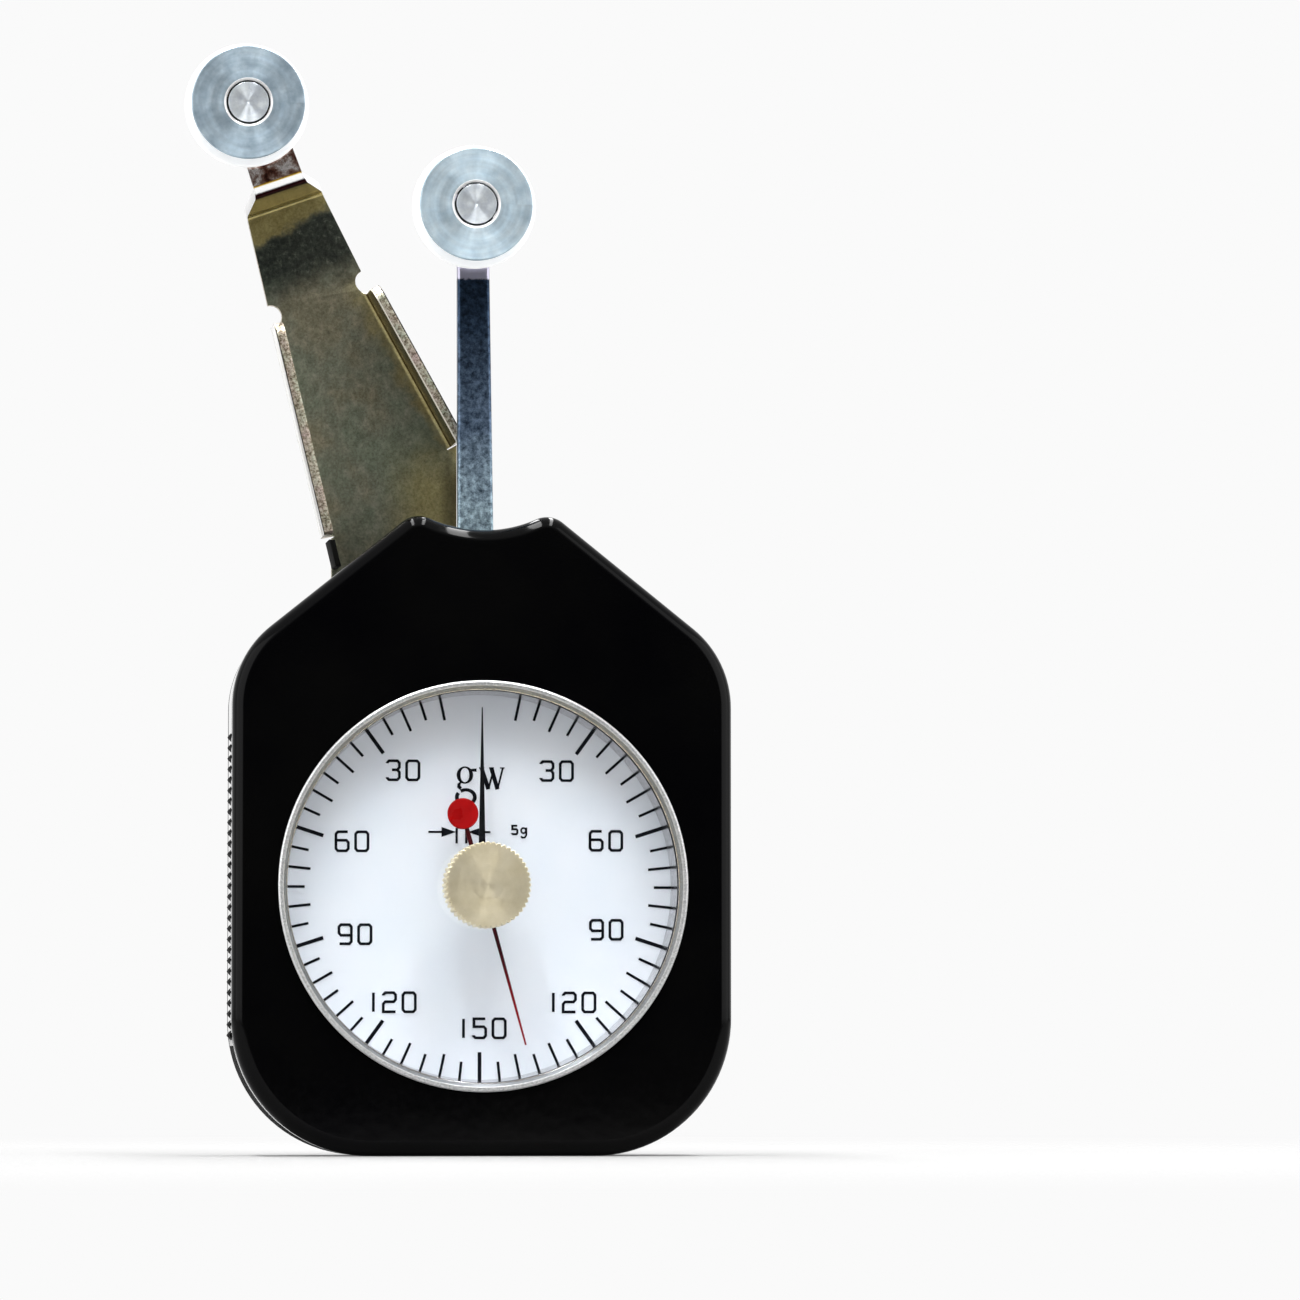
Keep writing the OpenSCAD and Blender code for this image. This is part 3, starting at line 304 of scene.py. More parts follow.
bracketPaint = {
    # noise patterns: size in mm, detail, roughness
    "grains": {
        "fine": (0.32, 4.0, 0.75), "streak": (1.1, 4.0, 0.7), "slow": (7.0, 3.0, 0.5), "cloud": (3.5, 4.0, 0.6),
        "blot": (0.8, 5.0, 0.8), "smear": (2.0, 4.0, 0.7), "sheared": (0.3, 4.0, 0.8),
    },
    "neck": (-13.0, -12.4),  # q in mm where the neck begins
    # borders between the sheet's looks: what is measured, and where it goes from 0 to 1, in mm; q runs up the
    # leaning neck from the roller's axle and p across it
    "borders": {
        "above": ("stainTop", -16.2, -14.8), "below": ("stainFoot", -25.1, -20.0), "fold": ("foldLine", 0.6, 3.4),
        "low": ("q", -23, -27), "right": ("x", -12, -5), "foot": ("footLine", 92, 84), "shadow": ("x", -4.6, -1.9),
        "shadowTop": ("z", 90, 84), "bend": ("q", -11.45, -11.35), "tab": ("q", -9.85, -9.7), "inner": ("p", 2, 4),
    },
    # the dark patch below the shelf is a painted reflection of a dark thing
    "foldSlope": 0.172, "stainSlope": -0.14, "wander": 5,
    # the same by the way the sheet faces, from 0 to 1
    "facing": {
        "front": ("Y", -0.45, -0.8), "left": ("X", -0.4, -0.7), "down": ("Z", -0.5, -0.8), "back": ("Y", 0.4, 0.7),
    },
    # the front faces' paints are darker than the outer faces' bright paint: a painted reflection of the dark room on
    # one metal
    "paints": {
        "grey": ("streak", [(0.3, "787A6C"), (0.5, "8C8F7F"), (0.7, "A2A394")]),
        "veil": ("slow", [(0.38, "EEF6EC"), (0.5, "F8F6EE"), (0.62, "FFF2E2")]),
        "olive": ("streak", [(0.3, "978A58"), (0.7, "B5A872")]),
        "dark": ("blot", [(0.4, "272C2A"), (0.56, "40463F"), (0.66, "666A60"), (0.72, "B4B5AA")]),
        "brown": ("smear", [(0.38, "3A1C16"), (0.46, "7A5040"), (0.53, "B89C8E"), (0.6, "FFF8F4")]),
        "grit": ("fine", [(0.35, "D2D2D2"), (0.6, "FFFFFF")]),
        "bright": ("streak", [(0.3, "ECE8DC"), (0.6, "FFFFFF")]),
        "bath": ("slow", [(0.36, "A29B78"), (0.46, "B5B297"), (0.54, "ABAC9E"), (0.64, "B9AC88")]),
        "bathStreak": ("streak", [(0.34, "B8B8B4"), (0.62, "FFFFFF")]),
    },
    "bendFrom": -11.5, "bendTo": -9.5,
    "bendBands": [
        (0.08, "857848"), (0.12, "3A0A14"), (0.32, "3A0A14"), (0.38, "FFFFFF"), (0.72, "FFFFFF"), (0.77, "F2CF58"),
        (0.85, "C98F22"), (0.9, "5A3527"),
    ],
    # the second colour is painted shade for the right flange's inner face and for downward faces
    "shade": "2E2413", "insideShade": "57471D",
    # the sheared edge's flanges: a point on each one's middle and the way out from it, in X and Z
    "leftFlange": ((-25.2, 105.55), (-0.9721, -0.2344)), "rightFlange": ((-13.05, 110.2), (0.8731, 0.4876)),
    "edgeTint": [(0.3, "F2DCD8"), (0.5, "EAE4D2"), (0.7, "D5E2CE")],
    "edgeSpeck": [(0.38, "6A6055"), (0.48, "C8C0B4"), (0.6, "FFFFFF")],
    # the gold line inside the right flange's edge is a painted highlight
    "burr": (0.35, 0.4), "burrColour": "1A1612", "edgeGlint": (-0.9, -0.84, -0.66, -0.58), "edgeGlintColour": "FFFAEC",
}


def bracketGrains(add, where, keys):
    # the streaks are drawn out and lean a little
    grains = {}
    for key in keys:
        size, detail, rough = bracketPaint["grains"][key]
        at = where
        if key == "streak":
            at = add("Mapping", {"Vector": where, "Rotation": (0, 0.5, 0), "Scale": (1.0, 1.0, 0.7)})
        grains[key] = add("TexNoise", {"Vector": at, "Scale": perMetre(size), "Detail": detail, "Roughness": rough})
    return grains


def neckPlace(add, where):
    # p across the neck and q up it, as dot products with the neck's two directions
    x, z = shared["rollers"]["fixed"]
    lean = math.radians(shared["neckLean"])
    spot = add("Mapping", {"Location": (-x * mm, 0, -z * mm), "Vector": where})
    ways = ((math.cos(lean), 0, math.sin(lean)), (-math.sin(lean), 0, math.cos(lean)))
    return [add("VectorMath", {"operation": "DOT_PRODUCT", 0: spot, 1: way}, "Value") for way in ways]


def bracketEdgeMetal():
    # the sheet's sheared edge: bare bright speckle with pink and green bath colours, painted white on the neck as a
    # painted highlight, a dark burr outside the flanges and a gold painted highlight line inside the right one
    f = bracketPaint
    mat, add, where = newMaterial("yellowZincEdge")
    grain = bracketGrains(add, where, ("fine", "cloud", "sheared"))
    q = neckPlace(add, where)[1]
    tint = add("ValToRGB", {"Fac": grain["cloud"], "stops": f["edgeTint"]})
    speck = add("ValToRGB", {"Fac": grain["sheared"], "stops": f["edgeSpeck"]})
    colour = add("Mix", {"data_type": "RGBA", "blend_type": "MULTIPLY", 0: 1.0, 6: tint, 7: speck}, 2)
    sides = []
    for at, out in (f["leftFlange"], f["rightFlange"]):
        along = add("VectorMath", {"operation": "DOT_PRODUCT", 0: where, 1: (out[0], 0, out[1])}, "Value")
        sides.append(add("Math", {"operation": "SUBTRACT", 0: along, 1: (at[0] * out[0] + at[1] * out[1]) * mm}))
    burr = add("Math", {"operation": "MAXIMUM", 0: sides[0], 1: sides[1]})
    burr = add("Math", {"operation": "MULTIPLY_ADD", 0: grain["fine"], 1: 0.2 * mm, 2: burr})
    edgeGlint = f["edgeGlint"]
    spans = ((burr, *f["burr"]), (sides[1], *edgeGlint[:2]), (sides[1], edgeGlint[3], edgeGlint[2]), (q, *f["neck"]))
    burr, glintIn, glintOut, neck = [
        add("MapRange", {**smooth, "Value": value, "From Min": low * mm, "From Max": high * mm})
        for value, low, high in spans
    ]
    edgeGlint = add("Math", {"operation": "MULTIPLY", 0: glintIn, 1: glintOut})
    # the neck's edge is painted white and the gold line added, both painted highlights; the burr is dark
    for mask, paint in ((burr, f["burrColour"]), (edgeGlint, f["edgeGlintColour"]), (neck, "FFFFFF")):
        colour = add("Mix", {"data_type": "RGBA", 0: mask, 6: colour, 7: paint}, 2)
    return closeMaterial(mat, add, {
        "Metallic": 0.85, "Base Color": colour,
        "Roughness": add("Math", {"operation": "MULTIPLY_ADD", 0: grain["fine"], 1: 0.1, 2: 0.3}),
        "Normal": add("Bump", {"Strength": 0.8, "Distance": 0.04 * mm, "Height": grain["fine"]}),
    })


def bracketMetal():
    # yellow-passivated zinc, its front faces painted darker than its bright outer faces as a painted reflection of the
    # dark room: grey-green with a painted reflection of a dark thing below the shelf, olive above it, gold where the
    # right fold turns, brown where the lever's shadow falls, and painted shade on the inner and downward faces; the tab
    # is smoother and browner, and the bend into it mirrors a dark and a white band
    f = bracketPaint
    mat, add, where = newMaterial("yellowPassivatedZinc")
    value = bracketGrains(add, where, ("fine", "streak", "slow", "cloud", "blot", "smear"))
    paint = {}
    for key, (source, stops) in f["paints"].items():
        paint[key] = add("ValToRGB", {"Fac": value[source], "stops": stops})
    value["p"], value["q"] = neckPlace(add, where)
    value["x"], value["z"] = add("SeparateXYZ", {0: where}, "X"), add("SeparateXYZ", {0: where}, "Z")

    # every step names its result, its operation and what goes in: an earlier result or a number
    wander = f["wander"] * mm
    for key, operation, *inputs in (
        ("wander", "MULTIPLY_ADD", "cloud", wander, -0.5 * wander), ("level", "ADD", "q", "wander"),
        ("stainTop", "MULTIPLY_ADD", "p", f["stainSlope"], "level"), ("stainFoot", "MULTIPLY_ADD", "wander", 1.5, "q"),
        ("across", "ADD", "p", "wander"), ("foldLine", "MULTIPLY_ADD", "q", f["foldSlope"], "across"),
        ("footLine", "ADD", "z", "wander"),
    ):
        found = {k: value.get(part, part) for k, part in enumerate(inputs)}
        value[key] = add("Math", {"operation": operation, **found})
    for key, (source, low, high) in {**f["borders"], "neck": ("q", *f["neck"])}.items():
        value[key] = add("MapRange", {**smooth, "Value": value[source], "From Min": low * mm, "From Max": high * mm})
    for key, (axis, low, high) in f["facing"].items():
        way = add("SeparateXYZ", {0: add("TexCoord", None, "Normal")}, axis)
        value[key] = add("MapRange", {**smooth, "Value": way, "From Min": low, "From Max": high})
    for key, operation, *inputs in (
        ("offNeck", "SUBTRACT", 1.0, "neck"), ("offOlive", "SUBTRACT", 1.0, "above"),
        ("stain", "MULTIPLY", "below", "offOlive"), ("stain", "MULTIPLY", "stain", 0.94),
        ("foldGold", "MULTIPLY", "fold", "low"), ("footGold", "MULTIPLY", "right", "foot"),
        ("gold", "MAXIMUM", "foldGold", "footGold"), ("gold", "MULTIPLY", "gold", 0.85),
        ("shade", "MULTIPLY", "shadow", "shadowTop"), ("shade", "MULTIPLY", "shade", 0.8),
        ("front", "MAXIMUM", "front", "neck"), ("flange", "MULTIPLY", "left", "inner"),
        ("inside", "MAXIMUM", "flange", "down"), ("behind", "MULTIPLY", "back", "offNeck"),
    ):
        found = {k: value.get(part, part) for k, part in enumerate(inputs)}
        value[key] = add("Math", {"operation": operation, **found})

    times = {"data_type": "RGBA", "blend_type": "MULTIPLY"}
    bands = add("MapRange", {"Value": value["q"], "From Min": f["bendFrom"] * mm, "From Max": f["bendTo"] * mm})
    bands = add("ValToRGB", {"Fac": bands, "stops": f["bendBands"]})
    bands = add("Mix", {"data_type": "RGBA", 0: value["tab"], 6: bands, 7: paint["brown"]}, 2)
    bath = add("Mix", {**times, 0: 1.0, 6: paint["bath"], 7: paint["bathStreak"]}, 2)
    other = paint["bright"]
    # painted shade on the right flange's inner face and on downward faces; faces behind get the bath colour
    for key, layer in (("inside", f["insideShade"]), ("behind", bath)):
        other = add("Mix", {"data_type": "RGBA", 0: value[key], 6: other, 7: layer}, 2)
    colour = add("Mix", {**times, 0: 1.0, 6: paint["grey"], 7: paint["veil"]}, 2)
    # the dark patch is a painted reflection, and shade the lever's painted shadow
    for key, layer in (
        ("above", paint["olive"]), ("stain", paint["dark"]), ("gold", paint["olive"]), ("shade", f["shade"]),
        ("bend", bands),
    ):
        colour = add("Mix", {"data_type": "RGBA", 0: value[key], 6: colour, 7: layer}, 2)
    colour = add("Mix", {**times, 0: value["offNeck"], 6: colour, 7: paint["grit"]}, 2)

    # the outer faces and the tab are smoother than the front
    gloss = {"Value": value["q"], "From Min": -12.9 * mm, "From Max": -12.3 * mm, "To Min": 0.34, "To Max": 0.13}
    polish = {"Value": value["front"], "From Min": 0.3, "From Max": 0.7, "To Min": 0.4}
    matt = add("Math", {"operation": "MAXIMUM", 0: value["behind"], 1: add("MapRange", {**smooth, **polish})})
    rough = {"operation": "MULTIPLY_ADD", 0: value["fine"], 1: 0.08, 2: add("MapRange", {**smooth, **gloss})}
    return closeMaterial(mat, add, {
        "Metallic": 0.8,
        # front faces and the neck take the darker paints, a painted reflection of the dark room; other faces keep the
        # bright metal
        "Base Color": add("Mix", {"data_type": "RGBA", 0: value["front"], 6: other, 7: colour}, 2),
        "Roughness": add("Math", {"operation": "MULTIPLY", 0: add("Math", rough), 1: matt}),
        "Normal": add("Bump", {"Strength": 0.3, "Distance": 0.04 * mm, "Height": value["fine"]}),
    })


def pointerLacquer():
    # the red pointer's thin arms are deep maroon near the knob and redder further out
    mat, add, where = newMaterial("maroonLacquer")
    drift = add("TexNoise", {"Vector": where, "Scale": perMetre(1.5), "Detail": 3.0, "Roughness": 0.5})
    out = add("Math", {"operation": "MULTIPLY_ADD", 0: drift, 1: 3 * mm, 2: dialRadius(add, where)})
    out = add("MapRange", {**smooth, "Value": out, "From Min": 9 * mm, "From Max": 19 * mm})
    tone = add("Mix", {"data_type": "RGBA", 0: out, 6: "3E0208", 7: "8E0A16"}, 2)
    return closeMaterial(mat, add, {"IOR": 1.5, "Specular IOR Level": 0.15, "Roughness": 0.35, "Base Color": tone})


# the rollers' faces get painted sheen, and a painted highlight ring around the hub
rollerFace = {"anisotropy": 0.75, "groove": (0.3, 0.15), "cloud": 2.0, "sheen": 0.16, "lip": 0.04}
finish = {
    # injection-moulded ABS from a polished tool: deep black with a clear gloss and a very faint orange peel
    "caseBlack": coated(
        "mouldedGlossAbs", {"IOR": 1.5, "Specular IOR Level": 0.09},
        (14, 3.0, "020203", "050505"), (0.8, 4.0, 0.06, 0.1), (2.2, 1.0, 0.12, 0.04),
    ),
    # the rear tub's moulded ABS, with a fine spark-eroded texture that breaks up its gloss
    "tubBlack": coated(
        "texturedAbs", {"IOR": 1.3, "Coat Weight": 1.0, "Coat IOR": 1.3, "Coat Roughness": 0.08},
        (10, 3.0, "040405", "09090A"), (10, 3.0, 0.1, 0.16), (0.35, 3.0, 0.12, 0.03),
    ),
    "bezelSatin": bezelMetal(),
    "acrylic": clearAcrylic(),
    "knobBrass": turnedMetal("paleBrass", [(0.3, "D8CCAA"), (0.7, "ECE2C6")], 0.38, 0.75, (0.15, 0.2), 0.9, 3.0, 0.02),
    # the fixed roller's disc is the same turned aluminium as the lever roller's, painted darker
    "rollerDarker": turnedMetal(
        "darkerAluminium", [(0.3, "93A6B4"), (0.55, "AEC0CC"), (0.75, "C8D7E0")], 0.46, metallic=0.85, **rollerFace,
    ),
    "rollerAluminium": turnedMetal(
        "satinAluminium", [(0.3, "ABC1CF"), (0.55, "C4D6E0"), (0.75, "D8E6ED")], 0.48, metallic=0.8, **rollerFace,
    ),
    # beyond rim the axle head is painted dark, as painted shade in the groove between the head and the disc
    "axleHead": turnedMetal(
        "turnedSteelHead", [(0.3, "D0D8E2"), (0.7, "F4FAFC")], 0.4, 0.8, (0.1, 0.2), 0.9, 1.2, 0.1, rim=0.252,
    ),
    "leverZinc": leverMetal(),
    "bracketYellow": bracketMetal(),
    "bracketEdge": bracketEdgeMetal(),
    # the white ring glows a little: painted light that keeps its shaded side bright
    "whitePom": plainCoat("whiteAcetal", "F4F4F4", "EFF0F0", 0.45, 1.5, 0.04, selfGlow=0.22),
    "dialWhite": plainCoat("bakedDialEnamel", "F4F5F8", "F0F2F7", 0.5, 9.0, 0.02),
    "dialInk": plainCoat("dialInk", "0C0D16", "07080F", 0.6, 0.2, 0.1, specular=0.08),
    "pointerBlack": plainCoat("satinBlackEnamel", "08080B", "040406", 0.4, 0.3, 0.1, specular=0.15),
    "pointerMaroon": pointerLacquer(),
    "tubMatt": plainCoat("mattBlackAbs", "0B0B0B", "060606", 0.75, 0.35, 0.3, specular=0.06),
    "pointerRed": plainCoat("redEnamel", "A60305", "920102", 0.3, 2.0, 0.02, specular=0.15),
    # plain black for the block at the left flange's lower end
    "padBlack": plainCoat("blackPad", "0A0A08", "050504", 0.8, 0.3, 0.3, specular=0.08),
    "gasketGrey": plainCoat("darkSilicone", "303234", "242527", 0.6, 0.5, 0.1),
    "brass": sheetMetal("machinedBrass", "B08D4A", "D3B473", 0.3, 0.9, 0.15),
    "steel": sheetMetal("brightZincSteel", "9A9DA1", "C4C7CA", 0.28, 0.7, 0.15),
    "springSteel": sheetMetal("bluedSpringSteel", "2F3B55", "5A6C8C", 0.3, 0.7, 0.1),
    "bearingSteel": sheetMetal("groundBearingSteel", "8D9093", "B5B8BB", 0.2, 0.5, 0.1),
}
print("materials made:", len(finish))

# helpers for meshes


def linkedObject(name, data):
    obj = bpy.data.objects.new(name, data)
    bpy.context.scene.collection.objects.link(obj)
    return obj


def editMesh(mesh, change):
    # a function changes the mesh in its editable form
    bm = bmesh.new()
    bm.from_mesh(mesh)
    change(bm)
    bm.to_mesh(mesh)
    bm.free()
    return mesh


def closeSkin(bm):
    # coinciding vertices become one and the faces point outwards
    bmesh.ops.remove_doubles(bm, verts=bm.verts, dist=1e-7)
    bmesh.ops.recalc_face_normals(bm, faces=bm.faces)


def finishPiece(name, mesh, material, body, stands=(), sharp=40.0, second=None):
    # a mesh becomes a piece: merged, closed, facing outwards, smooth but for its sharp edges
    editMesh(mesh, closeSkin)
    mesh.shade_smooth()
    mesh.set_sharp_from_angle(angle=math.radians(sharp))
    slots = np.zeros(len(mesh.polygons), np.int32)
    mesh.polygons.foreach_get("material_index", slots)
    mesh.materials.clear()
    mesh.materials.append(material)
    if second:
        mesh.materials.append(second)
        mesh.polygons.foreach_set("material_index", slots)
    obj = linkedObject(name, mesh)
    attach(obj, body)
    if stands:
        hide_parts(*stands)
    return obj


def gridMesh(name, points, wrapRows=False, wrapCols=False, uv=None):
    # points[row, column] in metres become quads; uv is given for each grid corner
    rows, cols = points.shape[:2]
    lastRow = rows if wrapRows else rows - 1
    lastCol = cols if wrapCols else cols - 1
    i, j = np.meshgrid(np.arange(lastRow), np.arange(lastCol), indexing="ij")
    corner = [(i, j), (i, j + 1), (i + 1, j + 1), (i + 1, j)]
    faces = np.stack([(a % rows) * cols + (b % cols) for a, b in corner], -1).reshape(-1, 4)
    mesh = bpy.data.meshes.new(name)
    mesh.from_pydata(points.reshape(-1, 3).tolist(), [], faces.tolist())
    if uv is not None:
        layer = mesh.uv_layers.new(name="turning")
        flat = np.stack([np.stack([uv[0][b], uv[1][a]], -1) for a, b in corner], 2).reshape(-1, 2)
        layer.data.foreach_set("uv", flat.astype(np.float32).ravel())
    return mesh


def joinMeshes(name, meshes):
    bm = bmesh.new()
    for part in meshes:
        bm.from_mesh(part)
    out = bpy.data.meshes.new(name)
    bm.to_mesh(out)
    bm.free()
    return out


def layFlat(flat, y):
    # points in X and Z get their Y
    return np.column_stack([flat[:, 0], np.full(len(flat), y), flat[:, 1]])


def filletProfile(points, radius, closed=True, steps=5):
    # every corner of a profile becomes a small arc with a short lead-in on both sides; the arc takes at most
    # 0.42 of the shorter side
    pts = np.array(points, float)
    n = len(pts)
    out = []
    for k in range(n):
        here = pts[k]
        if not closed and k in (0, n - 1):
            out.append(here)
            continue
        back, ahead = pts[k - 1] - here, pts[(k + 1) % n] - here
        lb, la = np.linalg.norm(back), np.linalg.norm(ahead)
        back, ahead = back / lb, ahead / la
        turn = math.pi - math.acos(float(np.clip(back @ ahead, -1, 1)))
        if turn < 0.02:  # straight on
            out.append(here)
            continue
        reach = min(radius * math.tan(turn / 2), 0.42 * lb, 0.42 * la)
        r = reach / math.tan(turn / 2)
        middle = here + (back + ahead) / np.linalg.norm(back + ahead) * r / math.cos(turn / 2)
        start, end = here + back * reach, here + ahead * reach
        a0 = math.atan2(*(start - middle)[::-1])
        a1 = math.atan2(*(end - middle)[::-1])
        sweep = (a1 - a0 + math.pi) % (2 * math.pi) - math.pi
        lead = min(0.12 * reach + 0.01, 0.2 * reach + 0.002)
        out.append(start + back * lead)
        angles = a0 + sweep * np.linspace(0, 1, steps + 1)
        out.extend(middle + r * np.stack([np.cos(angles), np.sin(angles)], -1))
        out.append(end + ahead * lead)
    return np.array(out)


def turnedMesh(name, profile, spot, segments=144, closed=True, radiusOf=None):
    # a profile of (radius, y) turned about the Y axis at a spot: x = cx + r cos a, z = cz + r sin a
    prof = np.array(profile, float)
    angle = np.linspace(0, 2 * math.pi, segments, endpoint=False)
    radius, y = np.repeat(prof[:, :1], segments, 1), np.repeat(prof[:, 1:], segments, 1)
    if radiusOf is not None:
        radius = radiusOf(prof, radius, angle)
    points = np.stack([spot[0] + radius * np.cos(angle), y, spot[1] + radius * np.sin(angle)], -1) * mm
    ring = np.vstack([prof, prof[:1]]) if closed else prof
    run = np.concatenate([[0], np.cumsum(np.linalg.norm(np.diff(ring, axis=0), axis=1))]) / 10.0
    around = np.linspace(0, 1, segments + 1)
    return gridMesh(name, points, wrapRows=closed, wrapCols=True, uv=(around, run))


def turnedPiece(
    name, profile, spot, material, body, stands=(), edge=0.08, segments=144, closed=True, radiusOf=None, sharp=50.0,
):
    rounded = filletProfile(profile, edge, closed)
    return finishPiece(name, turnedMesh(name, rounded, spot, segments, closed, radiusOf), material, body, stands, sharp)


def mitres(before, here, after):
    # the step to one side at each corner that keeps a parallel line 1 away: the two sides' normals added, over
    # that sum's part along one of them
    e0 = (here - before) / np.linalg.norm(here - before, axis=1, keepdims=True)
    e1 = (after - here) / np.linalg.norm(after - here, axis=1, keepdims=True)
    n0, n1 = np.stack([-e0[:, 1], e0[:, 0]], -1), np.stack([-e1[:, 1], e1[:, 0]], -1)
    m = n0 + n1
    return m / np.sum(m * n1, axis=1, keepdims=True)


def offsetInwards(outline, d):
    # moves a closed outline inwards along its mitres
    pts = np.array(outline, float)
    after = np.roll(pts, -1, 0)
    area = 0.5 * np.sum(pts[:, 0] * after[:, 1] - after[:, 0] * pts[:, 1])
    return pts + mitres(np.roll(pts, 1, 0), pts, after) * d * (1 if area > 0 else -1)


def plateMesh(name, outline, y0, y1, frontEdge, backEdge, steps=5):
    # a flat outline in X and Z given a thickness, with quarter-round edges front and back
    a = np.linspace(0, math.pi / 2, steps + 1)
    front = [(frontEdge * (1 - math.sin(t)), y0 + frontEdge * (1 - math.cos(t))) for t in a]
    back = [(backEdge * (1 - math.sin(t)), y1 - backEdge * (1 - math.cos(t))) for t in a[::-1]]
    rim = 0.06  # a narrow ring that keeps the flat's shading flat
    rings = [(front[0][0] + rim, y0)] + front + back + [(back[-1][0] + rim, y1)]
    rows = [layFlat(offsetInwards(outline, d), y) for d, y in rings]

    def capEnds(bm):
        bm.verts.ensure_lookup_table()
        bm.faces.new(bm.verts[: len(outline)])
        bm.faces.new(bm.verts[-len(outline) :])

    return editMesh(gridMesh(name, np.array(rows) * mm, wrapCols=True), capEnds)


def appliedMesh(obj):
    # the object's mesh with its modifiers applied; the helper object is removed
    made = bpy.data.meshes.new_from_object(obj.evaluated_get(bpy.context.evaluated_depsgraph_get()))
    bpy.data.objects.remove(obj)
    return made


def carve(mesh, steps):
    # joins or cuts other closed meshes, one after another
    for operation, tool in steps:
        base = linkedObject("carveBase", editMesh(mesh, closeSkin))
        cutter = linkedObject("carveTool", editMesh(tool, closeSkin))
        change = base.modifiers.new("carve", "BOOLEAN")
        change.operation = operation
        change.solver = "EXACT"
        change.object = cutter
        mesh = appliedMesh(base)
        bpy.data.objects.remove(cutter)
    return mesh


softEdge = {"width": 0.12, "segments": 2, "angle": 38, "flat": 1.0, "merge": 2e-7, "sharp": 34.0}


def softenedCopy(node, material, body):
    # a copy of a CAD node with its loose triangles merged, its flats made whole and its edges broken
    def makeWhole(bm):
        bmesh.ops.remove_doubles(bm, verts=bm.verts, dist=softEdge["merge"])
        bmesh.ops.dissolve_limit(bm, angle_limit=math.radians(softEdge["flat"]), verts=bm.verts, edges=bm.edges)

    base = linkedObject("softenBase", editMesh(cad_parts[node].data.copy(), makeWhole))
    bevel = base.modifiers.new("edge", "BEVEL")
    bevel.width = softEdge["width"] * mm
    bevel.segments = softEdge["segments"]
    bevel.limit_method = "ANGLE"
    bevel.angle_limit = math.radians(softEdge["angle"])
    bevel.use_clamp_overlap = True
    return finishPiece(node + "_soft", appliedMesh(base), material, body, (node,), softEdge["sharp"])


# case
caseForm = {
    "halfWidth": 31.0, "height": 79.1, "baseRadius": 17.0, "shoulderRadius": 12.6, "shoulderZ": 55.5,
    "slope": 38.7, "hornRadius": 3.2, "notchDepth": 1.7, "faceY": -9.0, "seamY": -5.5, "backY": 11.0,
    "wall": 1.6, "frontRound": 1.8, "backRound": 3.6, "inset": 0.4, "topRadius": 6.0,
}
dialForm = {
    "z": shared["dialZ"], "bezelRadius": 25.4, "sleeveRadius": 24.95, "wellRadius": 24.25, "taper": 0.4, "face": -3.5,
}


def arcPoints(centre, radius, a0, a1, n):
    a = np.radians(np.linspace(a0, a1, n + 1))
    return np.stack([centre[0] + radius * np.cos(a), centre[1] + radius * np.sin(a)], -1)


def joinRuns(runs, between=10):
    # arcs joined by straight runs of the same number of points
    out = [runs[0]]
    for run in runs[1:]:
        t = np.linspace(0, 1, between + 2)[1:-1, None]
        out += [out[-1][-1] * (1 - t) + run[0] * t, run]
    return np.vstack(out)


def bothSides(half):
    # half runs up the right side from the bottom centre to the top centre
    left = half[::-1][1:-1] * [-1, 1]
    return np.vstack([half, left])


def caseOutline(form, d, horned):
    # the case's outline, d further in: base corner, side, shoulder, slope, then either the horn and the arc
    # of the notch through both horns, or the rear tub's plain rounded top
    a = 90 - form["slope"]
    nx, nz = math.cos(math.radians(a)), math.sin(math.radians(a))
    drop = 0 if horned else form["inset"]
    base = (form["halfWidth"] - form["baseRadius"], form["baseRadius"] - drop)
    shoulder = (form["halfWidth"] - form["shoulderRadius"], form["shoulderZ"])
    reach = shoulder[0] * nx + shoulder[1] * nz + form["shoulderRadius"]
    bottom = np.array([[0.0, base[1] - form["baseRadius"] + d]])
    corner = arcPoints(base, form["baseRadius"] - d, -90, 0, 26)
    runs = [bottom, corner, arcPoints(shoulder, form["shoulderRadius"] - d, 0, a, 16)]
    notch = form["height"] - form["notchDepth"]
    if horned:
        hz = form["height"] - form["hornRadius"]
        hx = (reach - form["hornRadius"] - hz * nz) / nx
        rise = notch - hz
        r = (hx**2 + rise**2 - form["hornRadius"] ** 2) / (2 * (form["hornRadius"] - rise))
        meet = math.degrees(math.atan2(notch + r - hz, hx))
        runs.append(arcPoints((hx, hz), form["hornRadius"] - d, a, 180 - meet, 18))
        curve = arcPoints((0, notch + r), r + d, -meet, -90, 18)
        return bothSides(np.vstack([joinRuns(runs), curve[1:]]))
    tz = notch - 1
    tx = (reach - form["inset"] - form["topRadius"] - (tz - form["topRadius"]) * nz) / nx
    runs.append(arcPoints((tx, tz - form["topRadius"]), form["topRadius"] + form["inset"] - d, a, 90, 14))
    runs.append(np.array([[0.0, tz + form["inset"] - d]]))
    return bothSides(joinRuns(runs))


def outlineRows(form, horned, rings):
    return [layFlat(caseOutline(form, d, horned), y) for d, y in rings]


def circleRow(flat, radius, y):
    # points of a circle about the dial's centre, each in line with its point of the outline
    away = flat - [0, dialForm["z"]]
    away = away / np.linalg.norm(away, axis=1, keepdims=True) * radius
    return layFlat(away + [0, dialForm["z"]], y)


